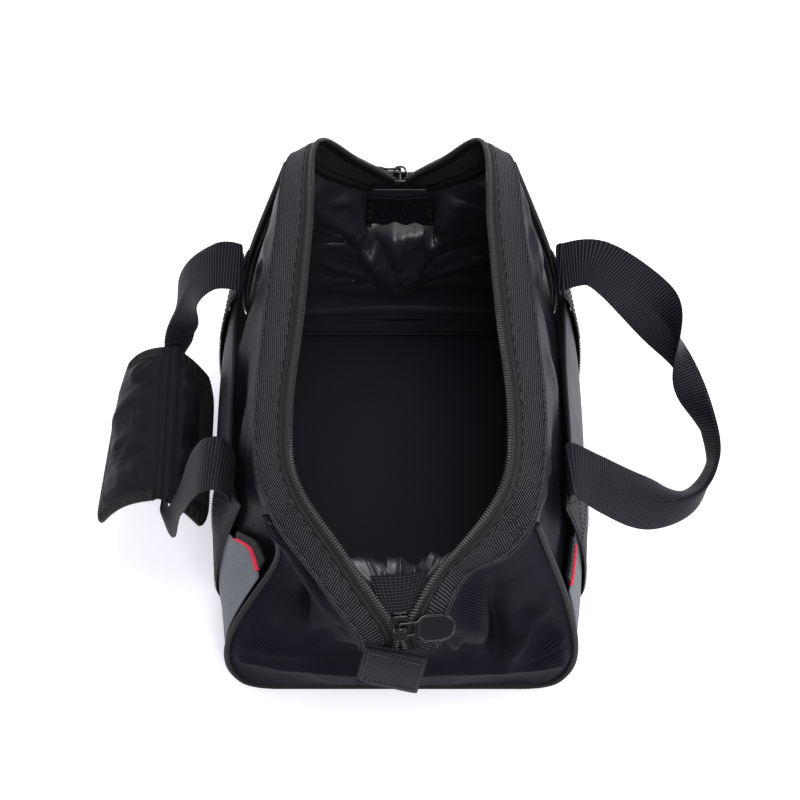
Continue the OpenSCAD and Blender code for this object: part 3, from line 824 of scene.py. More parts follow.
def underside():
    x = axis0(-FLAT - 1, FLAT + 1, 60)
    y = axis1(-END + 0.5, END - 0.5, 90)
    edge = smooth((FLAT - np.abs(x)) / 8) * smooth((END - 5 - np.abs(y)) / 8)
    z = 1.1 - 0.7 * edge * (0.5 + 0.5 * soft(x, y, 40, 8))
    shape = slab(Shape(), xyz(x, y, z), -0.35, CLOTH_T)
    piece("bottom_cloth", shape, "nylon", replaced=["bottom_panel"])


def gusset_fold():
    """The roll of side cloth that slumps over the left front seam, below the band."""
    at = np.array([[-82, -116, 183], [-76, -126, 171], [-60, -141, 158], [-44, -153, 148], [-33, -160, 139],
                   [-29, -160, 133]], float)
    path = spline(at, np.linspace(0, 1, 120))
    out = np.array([-0.30, -0.75, 0.30])
    below = np.cross(out, tangents(path))
    below *= -np.sign(below[:, 2:])
    side, up = frame_along(path, below)
    t = np.linspace(0, 1, 120)
    size = (0.35 + 0.65 * smooth(t / 0.2) * smooth((1 - t) / 0.15)) * (1 + 0.12 * noise(t * 9, 0 * t, 3))
    angle = np.linspace(0, 2 * math.pi, 40, endpoint=False)
    wrinkle = 1 + 0.10 * noise(t[:, None] * 14 + 2 * np.cos(angle), 2 * np.sin(angle) + 0 * t[:, None], 5)
    oval = np.stack([8.5 * np.cos(angle), 4.6 * np.sin(angle)], -1)
    section = oval[None] * (size[:, None] * wrinkle)[..., None]
    shape = Shape()
    sweep(shape, path + side * 3.5 + unit(out) * 3.0, side, up, section)
    piece("left_gusset_fold", shape, "end_nylon", sharp=180)


# ---- pockets ----
# How far the middle of a centre pocket's edge has sagged; less than 0 is towards the bag.
GAPE = {LEFT: -3.5, RIGHT: -4.5}


def pocket_cloth(shape, side):
    s = np.concatenate([np.linspace(0.02, S_WEB[0], 50), np.linspace(S_WEB[0] + 0.004, S_WEB[1] - 0.004, 60),
                        np.linspace(S_WEB[1], 0.98, 50)])[:, None]
    t = axis1(0, 1, 56)
    v = lerp(0.012, side_v(pocket_top(s)), t)
    grid = pocket_point(s, v)
    y, z = grid[..., 1], grid[..., 2]
    out = 0.8 * soft(y, z, 42, 2 if side == LEFT else 5) + 0.1 * crumpled(y, z, 14, 6)
    out *= fade(s, 0.05) * smooth(t / 0.2) * smooth((1 - t) / 0.15)
    flat = np.stack([y, along_axis(grid, 1)], axis=-1)
    slab(shape, pushed(grid, -out), 0, 1, flat)


def centre_pocket_grid(side, s, t):
    v = lerp(side_v(POCKET_LOW + 1), side_v(CENTRE_TOP), t)
    grid = pocket_point(s, v)
    across = clamp01((s - S_WEB[0]) / (S_WEB[1] - S_WEB[0]))
    open_by = GAPE[side] * np.sin(math.pi * across) ** 1.4 * smooth(t) * (t > 0)
    return grid + open_by[..., None] * [1, 0, 0.1]


def centre_pocket(shape, side):
    s = axis0(S_WEB[0] + 0.004, S_WEB[1] - 0.004, 70)
    t = axis1(0, 1, 36)
    grid = centre_pocket_grid(side, s, t)
    y, z = grid[..., 1], grid[..., 2]
    out = 0.7 * soft(y, z, 30, 7) * smooth((1 - t) / 0.2) * smooth(t / 0.2)
    slab(shape, pushed(grid, -out), 0, 1)
    s = np.linspace(S_WEB[0] + 0.006, S_WEB[1] - 0.006, 70)
    hem = centre_pocket_grid(side, s, np.ones_like(s))
    cord(shape, hem + [0.2, 0, 0.2], 1.0)


def pocket_binding(shape):
    """The broad binding tape above each bay's piping, folded over the pocket's edge."""
    for bay in BAYS:
        s = axis0(bay[0], bay[1], 70)
        rise = axis1(2.8, 10.6, 9)
        grid = pocket_point(s, side_v(pocket_top(s) + rise))
        bulge = np.sin(math.pi * (rise - 2.8) / 7.8) * 0.6
        slab(shape, pushed(grid, -bulge), -0.4, 1.5)


def pocket_piping(shape):
    for bay in BAYS:
        s = np.linspace(bay[0], bay[1], 90)
        line = pocket_point(s, side_v(pocket_top(s) + 1.9)) + [0.5, 0, 0]
        cord(shape, line, 1.35, 10)


def pocket_thread(shape):
    for bay in BAYS:
        for rise in (4.4, 9.2):
            s = np.linspace(bay[0] + 0.004, bay[1] - 0.004, 60)
            line = pocket_point(s, side_v(pocket_top(s) + rise))
            grid = pocket_point(s[:, None], side_v(pocket_top(s) + rise)[:, None] + [-0.01, 0, 0.01])
            out = -normals(grid)[:, 1]
            stitches(shape, line + out * 0.7, out, pitch=3.0, length=2.0, radius=0.28)


# ---- piping round the end panels ----
def seam_line(e):
    v = np.linspace(0.985, 0, 70)
    half = end_point(1.0, v, e) + [0.4, 0, 0]
    half[:, 2] = np.maximum(half[:, 2], PIPING_R)
    x = np.linspace(half[-1, 0], -half[-1, 0], 60)[1:-1]
    bottom = xyz(x, half[-1, 1], PIPING_R)
    return spaced(np.concatenate([half, bottom, half[::-1] * [-1, 1, 1]]), step=2.0)[0]


def end_piping(e, name):
    line = seam_line(e)
    shape = Shape()
    cord(shape, line, PIPING_R, 12, hint=(0, 1, 0))
    middle = np.array([0, line[:, 1].mean(), 85.0])
    inward = unit((middle - line) * [1, 0, 1])
    flange = line + inward * 3.6 + [0, -e * 0.6, 0]
    flange[:, 2] = np.maximum(flange[:, 2], 1.2)
    strip(shape, flange, inward, rounded_bar(5.4, 1.5, 14))
    piece(name, shape, "binding", replaced=[name])
    thread = Shape()
    lift = np.tile([0, e, 0.3], (len(flange), 1))
    stitches(thread, (flange + inward * 1.2 + [0, e * 0.8, 0])[2:-2], lift, pitch=3.2, length=2.2)
    piece(name + "_stitches", thread, "thread")


# ---- the zip ----
# Rows along the band and the tape, and the length that the band's waves are laid out over.
ZIP_ROWS = 420
WAVES_L = 420


def zip_band(shape):
    u = axis0(0, 1, ZIP_ROWS)
    t = axis1(0, 1, 16)
    width = rim_width(u)
    grid = across_rim(u, lerp((TAPE_W + 0.2) / width, 0.99, t))
    along = u * WAVES_L
    out = 0.35 * soft(along, t * 30, 26, 9) * np.sin(math.pi * t) + 0.8 * smooth((t - 0.86) / 0.1)
    edge = np.minimum(smooth(t / 0.06), smooth((1 - t) / 0.06))
    flat = np.stack([np.broadcast_to(along_axis(grid, 0).mean(axis=1, keepdims=True), out.shape),
                     np.broadcast_to(t * width, out.shape)], axis=-1)
    slab(shape, pushed(grid, out), -0.4, 0.3 + 0.9 * edge, flat)


def band_seam(shape):
    """The bound seam allowance inside, where the band meets the walls."""
    u = np.linspace(0, 1, 260)
    line, out = on_band(u, np.full_like(u, 0.97), -2.5)
    strip(shape, line, out, rounded_bar(4.4, 6.5, 14, 0.5))


def on_band(u, t, lift):
    """A point on the band's upper face and the direction out of it."""
    def at(du, dt):
        w = rim_width(clamp01(u + du))
        return across_rim(clamp01(u + du), lerp((TAPE_W + 0.2) / w, 0.99, t + dt))
    out = unit(np.cross(at(0.004, 0) - at(-0.004, 0), at(0, 0.05) - at(0, -0.05)))
    return at(0, 0) + out * lift, out


def band_thread(shape):
    u = np.linspace(0.004, 0.996, 260)
    for t, lift in ((0.07, 1.25), (0.90, 1.9)):
        line, out = on_band(u, np.full_like(u, t), lift)
        stitches(shape, line, out, pitch=3.0, length=2.0, radius=0.3)
    for around in (0.28, 0.72):
        for k in range(5):
            across = np.linspace(0.12, 0.88, 30)
            line, out = on_band(np.full_like(across, around - 0.012 + k * 0.006), across, 1.3)
            stitches(shape, line, out, pitch=3.0, length=2.0, radius=0.3)


def zip_tape(shape):
    u = axis0(0, 1, ZIP_ROWS)
    w = axis1(COIL_R - 0.2, TAPE_W + 1.2, 13)
    grid = across_rim(u, w / rim_width(u))
    groove = -0.45 * np.exp(-(((w - 5.2) / 0.7) ** 2)) + 0.25 * np.exp(-(((w - 6.8) / 0.8) ** 2))
    flat = np.stack(np.broadcast_arrays(along_axis(grid, 0).mean(axis=1, keepdims=True), w), axis=-1)
    slab(shape, grid, -0.1, 0.75 + np.broadcast_to(groove, grid.shape[:2]), flat)
    line, out = across_rim(u[:, 0], 5.2 / rim_width(u[:, 0])), normals(grid)[:, 6]
    stitches(shape, (line + out * 0.5)[2:-2], out[2:-2], pitch=2.6, length=1.8, radius=0.24)


COIL_PITCH = 1.8
COIL_STEPS = 14
COIL_ROWS = 1600
COIL_WIRE_R = 0.5


def zip_coil(shape):
    """One flattened helix of nylon along the tape's edge."""
    u = np.linspace(0, 1, COIL_ROWS)
    line, band = spline(RIM, u), spline(BAND, u)
    length = path_length(line)
    at = np.linspace(0, length[-1], int(length[-1] / COIL_PITCH) * COIL_STEPS)
    line, band = read(line, length, at), read(band, length, at)
    side_way = unit(band - line)
    up = unit(np.cross(tangents(line), side_way))
    angle = (at / COIL_PITCH * 2 * math.pi)[:, None]
    path = line + side_way * (0.4 + 1.9 * np.cos(angle)) + up * 1.05 * np.sin(angle)
    strip(shape, path, up, circle(COIL_WIRE_R, 6))
    cord(shape, (line + side_way * 0.5)[::7], 0.8, 6, hint=(0.3, 0.2, 1))


# ---- sliders and pulls ----
SLIDER_AT = {FRONT: (0, -28 - END, 155), REAR: (0, END + 15, 156)}
SLIDER_TILT = {FRONT: 44, REAR: 66}
PULL_TILT = {FRONT: 14, REAR: 0}
BRIDGE_Z = 6.2


def slider_frame(e):
    """The slider's own frame: outward normal +Z, the zip opening towards +Y."""
    turn = Matrix.Rotation(math.radians(0 if e < 0 else 180), 4, "Z")
    return Matrix.Translation(SLIDER_AT[e]) @ turn @ Matrix.Rotation(math.radians(SLIDER_TILT[e]), 4, "X")


def placed(verts, matrix):
    verts = np.asarray(verts, float).reshape(-1, 3)
    m = np.array(matrix)
    return verts @ m[:3, :3].T + m[:3, 3]


def plate(shape, rings, thick, edge, matrix):
    """A flat plate with rounded edges: rings are its outline and its holes."""
    curve = bpy.data.curves.new("plate", "CURVE")
    curve.dimensions = "2D"
    curve.fill_mode = "BOTH"
    curve.extrude = thick / 2 - edge
    curve.bevel_depth = edge
    curve.bevel_resolution = 3
    curve.offset = -edge
    for ring in rings:
        line = curve.splines.new("POLY")
        line.points.add(len(ring) - 1)
        for point, (x, y) in zip(line.points, ring):
            point.co = (x, y, 0, 1)
        line.use_cyclic_u = True
    obj = bpy.data.objects.new("plate", curve)
    mesh = obj.to_mesh()
    verts = placed([v.co for v in mesh.vertices], matrix)
    start = shape.count
    shape.verts.append(verts)
    for face in mesh.polygons:
        shape.faces.append([start + i for i in face.vertices])
        shape.corners.append(np.array([mesh.vertices[i].co[:2] for i in face.vertices]))
    shape.count += len(verts)
    obj.to_mesh_clear()
    bpy.data.objects.remove(obj)
    bpy.data.curves.remove(curve)


def arc(centre, radius, start, end, count=12):
    a = np.radians(np.linspace(start, end, count))
    return [(centre[0] + radius * math.cos(t), centre[1] + radius * math.sin(t)) for t in a]


def tube(shape, points, section, matrix, hint):
    path = placed(spline(points, np.linspace(0, 1, 30)), matrix)
    strip(shape, path, np.array(matrix)[:3, :3] @ np.asarray(hint, float), section)


def slider(e):
    frame_of = slider_frame(e)
    shape = Shape()
    shield = (arc((3.4, 5.4), 1.8, 0, 90, 6) + arc((-3.4, 5.4), 1.8, 90, 180, 6)
              + arc((-2.6, -6.4), 1.6, 180, 270, 6) + arc((2.6, -6.4), 1.6, 270, 360, 6))
    for z in (3.1, -3.1):
        plate(shape, [shield], 1.5, 0.5, frame_of @ Matrix.Translation((0, 0, z)))
    for x in (-1, 1):
        lip = [(x * 5.0, 5.5, 2.2), (x * 4.8, 1, 2.2), (x * 4.1, -5.6, 2.2)]
        tube(shape, lip, rounded_bar(1.0, 1.8, 12), frame_of, (1, 0, 0))
    tube(shape, [(0, 4.6, -2.6), (0, 4.6, 0), (0, 4.6, 2.6)], rounded_bar(2.0, 3.0, 14), frame_of, (1, 0, 0))
    bridge = [(-4.0, 0, 3.4), (-3.9, 0, 6.4), (-2.4, 0, 8.4), (0, 0, 8.9), (2.4, 0, 8.4), (3.9, 0, 6.4),
              (4.0, 0, 3.4)]
    tube(shape, bridge, rounded_bar(2.8, 1.2, 16, 0.5), frame_of, (0, 1, 0))
    name = END_WORD[e] + "_slider"
    piece(name + "_body", shape, "metal", replaced=[name], sharp=50)


def pull(e):
    name = END_WORD[e] + "_pull"
    at = (slider_frame(e) @ Matrix.Translation((0, 0, BRIDGE_Z))
          @ Matrix.Rotation(math.radians(PULL_TILT[e]), 4, "Y"))
    half, neck, eye = PULL_W / 2, 4.6, 2.9
    end_x = PULL_L - half
    shoulder = [(8.6, neck), (10.4, neck + 0.5), (12.6, half - 0.9), (15.2, half)]
    outline = ([(-0.9, -neck + 0.8), (-0.1, -neck)] + [(x, -y) for x, y in shoulder]
               + arc((end_x, 0), half, -90, 90, 36) + shoulder[::-1] + [(-0.1, neck), (-0.9, neck - 0.8)])
    window = [(1.1, -eye), (1.1, eye), (8.2, eye), (8.2, -eye)]
    shape = Shape()
    plate(shape, [outline, window], 1.7, 0.55, at)
    inset = 1.1
    rim = (arc((end_x, 0), half - inset, -90, 90, 30)
           + [(15.0, half - inset), (11.4, neck), (11.4, -neck), (15.0, inset - half)])
    for z in (0.75, -0.75):
        ring = [(x, y, z) for x, y in rim + rim[:1]]
        line = placed(spaced(ring, step=0.8)[0], at)
        strip(shape, line, np.array(at)[:3, 2], circle(0.34, 6))
    piece(name + "_tab", shape, "metal", body=name, replaced=[name], sharp=50)


# ---- webbing ----
def ribbed(width, thick, along, fold_angle=0.0):
    """Sections of ribbed webbing at distances along it, folded lengthwise by an angle in radians."""
    q = np.linspace(-1, 1, 25)
    c = np.sign(q) * np.abs(q) ** 1.5 * 0.5
    rib = 0.5 + 0.5 * np.cos(2 * math.pi * along / RIB_PITCH)
    wide = width * (1 - 0.010 * rib)
    bend = 2.6
    fold_angle = np.broadcast_to(fold_angle, along.shape)
    turn = fold_angle[:, None] * smooth((c[None] * width + bend / 2) / bend)
    step = np.diff(c, prepend=c[0])[None] * wide[:, None]
    x = np.cumsum(step * np.cos(turn), axis=1) - wide[:, None] / 2
    y = np.cumsum(step * np.sin(turn), axis=1)
    x += (fold_angle / math.pi * width / 4)[:, None]
    y -= (fold_angle / math.pi * thick / 2)[:, None]
    half = thick / 2 * (0.88 + 0.12 * rib[:, None]) * (1 - 0.55 * np.abs(q[None]) ** 14)
    top = np.stack([x - half * np.sin(turn), y + half * np.cos(turn)], -1)
    low = np.stack([x + half * np.sin(turn), y - half * np.cos(turn)], -1)
    return np.concatenate([top, low[:, ::-1]], axis=1)


RIB_STEP = RIB_PITCH / 4


def webbing(shape, path, across, width=WEB_W, thick=WEB_T, folded=None, share=None):
    """A strap along a path, with its width direction, its lengthwise fold and its share of full width."""
    knots = np.arange(len(path))
    fine, along = spaced(path, step=RIB_STEP)
    t = np.interp(along, path_length(path), knots)
    angle = 0.0 if folded is None else math.pi * np.interp(t, knots, folded)
    section = ribbed(width, thick, along, angle)
    if share is not None:
        section = widened(section, np.interp(t, knots, share))
    strip(shape, fine, read(across, knots, t), section)


def widened(section, share):
    """Sections with each one's width scaled by its share."""
    return section * np.stack([share, np.ones_like(share)], -1)[:, None]


LEAVE_X = 104.0
ROUTE = {
    RIGHT: [(LEAVE_X, HANDLE_Y, HANDLE_Z), (131, 74, 178), (161, 46, 172), (186, 14, 156),
            (199, -19, 137), (203, -42, 120), (192, -64, 110), (163, -76, 122), (127, -77, 152),
            (LEAVE_X, -HANDLE_Y, HANDLE_Z)],
    LEFT: [(-LEAVE_X, HANDLE_Y, HANDLE_Z), (-122, 77, 172), (-140, 75, 154), (-149, 71, 128),
           (-152.5, 68, 108), (-155.5, 53, 90), (-156, 20, 88.5), (-156, -10, 87), (-156, -40, 84),
           (-156, -56, 83.5), (-155.5, -65, 85), (-152.5, -71.5, 89.5), (-148.5, -73.5, 98),
           (-144.5, -73.5, 111), (-140, -73.5, 127), (-135, -74, 144), (-129, -75, 161),
           (-122, -75.5, 173), (-113, -76, 177), (-LEAVE_X, -HANDLE_Y, HANDLE_Z)]}
ACROSS = {
    RIGHT: [(0, 1, 0), (0.15, 1, 0), (0.6, 0.7, 0.3), (0.4, 0.1, 0.9), (0.3, -0.1, 0.95), (0.2, -0.1, 0.97),
            (0.1, 0.2, 0.97), (0, 0.6, 0.8), (0, 0.95, 0.3), (0, 1, 0)],
    LEFT: [(0, 1, 0), (0, 1, 0), (-0.35, 0.93, -0.1), (-0.8, 0.6, 0), (-0.7, 0.3, 0.6), (-0.1, 0, 0.99),
           (0, 0, 1), (0, 0, 1), (0, 0, 1), (-0.1, 0, 1), (-0.15, 0.15, 0.97), (-0.2, 0.5, 0.85),
           (-0.15, 0.8, 0.55), (-0.1, 0.97, 0.2)] + [(0, 1, 0)] * 6}
DOUBLED = {RIGHT: [0, 0, 0.1, 0.5, 0.95, 1, 0.75, 0.3, 0.05, 0],
           LEFT: [0, 0, 0.05, 0.3, 0.8, 1, 1, 0.5, 0, 0, 0, 0, 0, 0, 0, 0, 0, 0, 0, 0]}
SHARE = {RIGHT: [1] * 10,
         LEFT: [1, 1, 1, 1, 1, 1, 1, 0.75, 0.5, 0.5, 0.5, 0.5, 0.5, 0.55, 0.7, 0.9, 1, 1, 1, 1]}
RUN_TOP = 160.0
# How far the rows of thread stand off the middle of the webbing.
THREAD_UP = 0.95


def run_line(side, y):
    """The webbing sewn up a side at y, from the base to where the handle takes over."""
    v = np.linspace(0.07, side_v(RUN_TOP), 90)
    s = s_at(y, v)
    line = pocket_point(s, v)
    beside = pocket_point(s_at(y + 4, v), v)
    along = unit(np.gradient(line, axis=0))
    out = unit(np.cross(unit(beside - line), along))
    out *= np.sign(out[:, :1])
    return (line + out * (0.9 + WEB_T / 2)) * [side, 1, 1], (beside - line) * [side, 1, 1]


def side_webbing(shape):
    """Both runs on the right side; the left side's are their mirror image."""
    for y in (HANDLE_Y, -HANDLE_Y):
        line, across = run_line(RIGHT, y)
        webbing(shape, line, across)


def box_stitches(shape):
    """The stitched box and cross that hold each handle's foot, and the runs' edge rows."""
    for y in (HANDLE_Y, -HANDLE_Y):
        line, across = run_line(RIGHT, y)
        up = unit(np.cross(across, tangents(line)))
        up *= np.sign(up[:, :1])
        wide = unit(across)
        for edge in (-16.5, 16.5):
            stitches(shape, line[6:] + wide[6:] * edge + up[6:] * THREAD_UP, up[6:], pitch=3.6)
        low, high = 66, 86
        box = slice(low, high)
        for a, b in ((-15, 15), (15, -15)):
            stitches(shape, line[box] + wide[box] * axis0(a, b, high - low) + up[box] * THREAD_UP, up[box])
        for row in (low, high):
            bar = line[row] + wide[row] * axis0(-16, 16, 30) + up[row] * THREAD_UP
            stitches(shape, bar, np.tile(up[row], (30, 1)))


def handle(side):
    """One handle, from the top of its rear run round to the top of its front run."""
    node = SIDE_WORD[side] + "_handle"
    route, across = np.array(ROUTE[side], float), np.array(ACROSS[side], float)
    rear, front = run_line(side, HANDLE_Y)[0], run_line(side, -HANDLE_Y)[0]
    turns = [[side * (LEAVE_X + 2.6), y, HANDLE_Z - 3] for y in (HANDLE_Y, -HANDLE_Y)]
    knots = [rear[-1], turns[0], *route[1:-1], turns[1], front[-1]]
    widths = [across[0]] + list(across) + [across[-1]]
    u = np.linspace(0, 1, 500)
    path = spline(np.array(knots), u)
    hint = unit(spline(np.array(widths), u))
    ends_and_tables = ((0, DOUBLED), (1, SHARE))
    doubled, share = (clamp01(spline([np.array([float(d)]) for d in [end, *table[side], end]], u)[:, 0])
                      for end, table in ends_and_tables)
    shape = Shape()
    webbing(shape, path, hint, folded=doubled, share=share)
    strap = piece(node + "_strap", shape, "webbing", body=None, replaced=[node], sharp=60)
    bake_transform(strap)


# ---- tabs at the zip's ends ----
def grab_tab(e):
    top = np.array([-2, -42 - END, 150.0] if e < 0 else [0, END + 28, 145.0])
    foot = np.array([-8, -47 - END, 114.0] if e < 0 else [0, END + 32, 110.0])
    skew = np.array([1, -0.14, -0.22] if e < 0 else [1, 0, 0], float)
    out = np.array([0, e * 1.0, 0.1])
    apart = 1.15
    drop = foot - top
    outer = [top + out * apart, top + drop * 0.35 + out * (apart + 1.0),
             top + drop * 0.7 + out * (apart + 0.7), foot + out * apart * 0.9]
    inner = [foot - out * apart * 0.9, top + drop * 0.6 - out * (apart + 0.3), top + drop * 0.3 - out * apart,
             top - out * apart]
    bottom = foot + unit(drop) * 1.4
    path = spline(np.array(outer + [bottom] + inner), np.linspace(0, 1, 260))
    shape = Shape()
    webbing(shape, path, np.tile(skew, (260, 1)), thick=1.7)
    node = END_WORD[e] + "_grab_tab"
    piece(node + "_loop", shape, "webbing", body=node, replaced=[node], sharp=60)
    thread = Shape()
    front_face = spline(np.array(outer), np.linspace(0.04, 0.96, 60)) + out * 1.0
    wide = unit(skew)
    for edge in (-16.6, 16.6):
        stitches(thread, front_face + wide * edge, np.tile(out, (60, 1)), pitch=3.2)
    for at in (3, 56):
        bar = front_face[at] + wide * axis0(-16, 16, 40)
        stitches(thread, bar, np.tile(out, (40, 1)), pitch=3.2)
    piece(node + "_stitches", thread, "thread", body=node)


def inner_tabs():
    shape = Shape()
    route = [(0, -21 - END, 153.5), (0, -9 - END, 157.5), (0, 3 - END, 160.5)]
    u = np.linspace(0, 1, 60)
    path = spline(np.array(route, float), u)
    fine, along = spaced(path, step=RIB_STEP)
    width = spline([np.array([w]) for w in (WEB_W / 2, WEB_W * 0.75, WEB_W)], np.linspace(0, 1, len(fine)))
    strip(shape, fine, (1, 0, 0), widened(ribbed(WEB_W, WEB_T, along), width[:, 0] / WEB_W))
    piece("front_inner_webbing", shape, "webbing", replaced=["front_inner_tab"], sharp=60)

    p = np.linspace(-0.235, 0.235, 60)
    half = 0.083
    middle = end_point(p, 0 * p + 0.915, REAR)
    upward = unit(end_point(p, 0 * p + 0.915 + half, REAR) - end_point(p, 0 * p + 0.915 - half, REAR))
    inward = unit(np.cross(upward, tangents(middle)))
    inward *= -np.sign(inward[:, 1:2])
    shape = Shape()
    webbing(shape, middle + inward * (5.6 + 0.8 * np.sin(p[:, None] * 40)), upward, width=36, thick=1.6)
    piece("rear_inner_webbing", shape, "webbing", replaced=["rear_inner_tab"], sharp=60)
    frame_line = Shape()
    ring = [middle + upward * 18 + inward * 6.6, (middle - upward * 18 + inward * 6.6)[::-1]]
    ring = spaced(np.concatenate(ring + [ring[0][:1]]), step=0.5)[0]
    bound_edge(frame_line, ring, np.tile(inward[30], (len(ring), 1)), 4.0, 1.8)
    piece("rear_inner_binding", frame_line, "binding")


def bound_edge(shape, path, up, width, thick):
    """Ribbed grosgrain binding along a path, its face towards up."""
    fine, along = spaced(path, step=RIB_STEP)
    up = read(up, np.linspace(0, 1, len(path)), np.linspace(0, 1, len(fine)))
    side = unit(np.cross(up, tangents(fine)))
    rib = 1 + 0.16 * np.cos(2 * math.pi * along / RIB_PITCH)
    section = rounded_bar(width, thick, 20, 0.6)[None] * np.stack([np.ones_like(rib), rib], -1)[:, None]
    sweep(shape, fine, side, unit(np.cross(tangents(fine), side)), section)


# ---- lining ----
# Creases in the front lining's web, across X and down from the rim.
FRONT_CREASES = [((-2, 26), (2, 66), 7, 7), ((-30, 30), (-8, 60), 7, 5), ((28, 26), (10, 62), 8, -6),
                 ((44, 26), (26, 62), 7, 6), ((-16, 36), (-24, 66), 6, -4)]


def front_lining():
    p = axis1(-1, 1, 240)
    w = axis0(0.0, 1, 170)
    grid = slack_point(p, w)
    x = grid[..., 0] * 0.5 + p * 60
    down = along_axis(grid, 0)
    edge = fade(w, 0.08, 0.15) * smooth((1 - np.abs(p)) / 0.08)
    out = (1.5 * crumpled(x, down, 24, 1) + 1.6 * soft(x, down, 26, 5)) * edge
    out += 0.45 * np.sin(x / 6.5 + 3 * noise(x / 26, down / 25, 3)) * edge * smooth((0.5 - w) / 0.2) \
        * (0.4 + 0.6 * noise(x / 18, down / 30, 4))
    out += sum(pleat(x, down, *crease) for crease in FRONT_CREASES) * edge
    lip = np.exp(-(((w - 0.36) / 0.12) ** 2)) * 1.6 * noise(x / 22, down / 40, 6)
    shape = Shape()
    flat = np.stack(np.broadcast_arrays(x, down), axis=-1)
    slab(shape, pushed(grid, -(out + lip * edge)), 0, LINING_T, flat)
    piece("front_lining_cloth", shape, "lining", replaced=["front_lining"], sharp=180)


# Creases that pull from the rear zip stop down to a point, as (start, end, width, height).
REAR_CREASES = [
    ((-42, 122), (2, 30), 12, 13), ((44, 146), (-2, 30), 13, 14), ((-24, 112), (-2, 60), 9, -8),
    ((24, 112), (3, 62), 9, -9), ((-6, 114), (-1, 66), 6, 6), ((-62, 146), (-28, 100), 9, 8),
    ((-66, 122), (-34, 100), 5, -3.5), ((-64, 96), (-24, 86), 6, 3), ((-60, 74), (-20, 58), 6, 4),
    ((-62, 60), (-14, 44), 5, -3), ((62, 116), (22, 96), 6, 3.5), ((62, 96), (20, 76), 5, -3.5),
    ((62, 80), (14, 52), 6, 5), ((60, 60), (10, 42), 5, -3), ((-64, 40), (62, 46), 5, 3),
    ((0, 40), (-50, 34), 4, 2.5), ((10, 120), (30, 84), 4, 3), ((-14, 100), (-28, 72), 4, 3)]


def rear_lining():
    p = axis1(-0.985, 0.985, 300)
    v = axis0(0.03, 0.998, 220)
    grid = end_point(p, v, REAR)
    x, z = grid[..., 0], grid[..., 2]
    top = smooth((z - 32) / 22)
    edge = smooth((0.985 - np.abs(p)) / 0.08) * smooth((0.998 - v) / 0.05)
    out = sum(pleat(x, z, *crease) for crease in REAR_CREASES) * smooth((z - 18) / 14)
    out += (1.6 * crumpled(x, z, 22, 3) + 1.3 * soft(x, z, 24, 7)) * top
    out += 0.5 * soft(x, z, 50, 1) + 0.9 * np.exp(-(((z - 15) / 2.6) ** 2))
    down = clamp01((114 - z) / 78)
    half = 42 * (1 - down) + 3
    out += 9 * np.sin(math.pi * np.minimum(1.2 * down, 1)) * clamp01(1 - (np.abs(x + 1) / half) ** 1.3)
    behind_tab = smooth((34 - np.abs(x)) / 8) * smooth((z - 98) / 10)
    out = (out + 3.0 * top) * edge * (1 - behind_tab)
    flat = np.stack([x, along_axis(grid, 0)], axis=-1)
    shape = slab(Shape(), pushed(grid, -out), -LINING_IN - LINING_T, -LINING_IN, flat)
    piece("rear_lining_cloth", shape, "lining", replaced=["rear_lining"], sharp=180)


def side_lining(shape, side):
    s = axis0(0.006, 0.988, 210)
    v = axis1(0.05, 0.998, 140)
    grid = moved_in(side_point(s, v))
    y, z = grid[..., 1], grid[..., 2]
    edge = smooth((s - 0.006) / 0.06) * smooth((0.988 - s) / 0.08) * smooth((0.998 - v) / 0.05)
    layer = 2 if side == LEFT else 8
    out = (1.1 * crumpled(y, z, 30, layer) + 1.6 * soft(y, z, 42, layer + 1)) * smooth((z - 20) / 40)
    out = (out + 1.6) * edge
    flat = np.stack([y, along_axis(grid, 1)], axis=-1)
    near = WALL_IN + LINING_IN
    slab(shape, pushed(grid, out), near, near + LINING_T, flat)


def board():
    """The stiff base board in its cloth cover, with a welted edge."""
    half_x, half_y, cut = FLAT + 2, END - 12, 12.0
    y = axis0(-half_y, half_y, 150)
    t = axis1(-1, 1, 100)
    reach = half_x - cut * np.clip((np.abs(y) - (half_y - cut)) / cut, 0, 1) ** 2
    x = t * reach
    wave = 0.35 * soft(x, y, 55, 4) * smooth((1 - np.abs(t)) / 0.1) * smooth((half_y - np.abs(y)) / 14)
    grid = xyz(x, y + 0 * x, 4.4 + 0 * x)
    shape = Shape()
    slab(shape, grid + wave[..., None] * [0, 0, 1.0], 0, 2.6, np.stack(np.broadcast_arrays(x, y + 0 * x), -1))
    right = grid[:, -1]
    rim = np.concatenate([right, grid[-1, ::-1], grid[::-1, 0], grid[0]])
    apart = np.linalg.norm(np.diff(rim, axis=0), axis=1) > 0.2
    rim, _ = spaced(rim[np.concatenate([[True], apart])], step=3.0)
    cord(shape, rim * [0.992, 0.994, 1] + [0, 0, 1.5], 1.5, 10)
    piece("board_cover", shape, "board", body="base_board", replaced=["base_board"])


# ---- the padded grip ----
SEAM = np.array([[-156, GRIP_L / 2 - 2, 110], [-156, -2 - GRIP_L / 2, 99]])
OUTER_EDGE = np.array([[-156 - GRIP_W * 0.68, GRIP_L / 2, 70], [-156 - GRIP_W * 0.86, -3 - GRIP_L / 2, 60]])
INNER_EDGE = np.array([[-131, GRIP_L / 2 - 2, 63], [-131, -2 - GRIP_L / 2, 52]])
PAD_T = 5.0
PAD_ARCH = 8.5


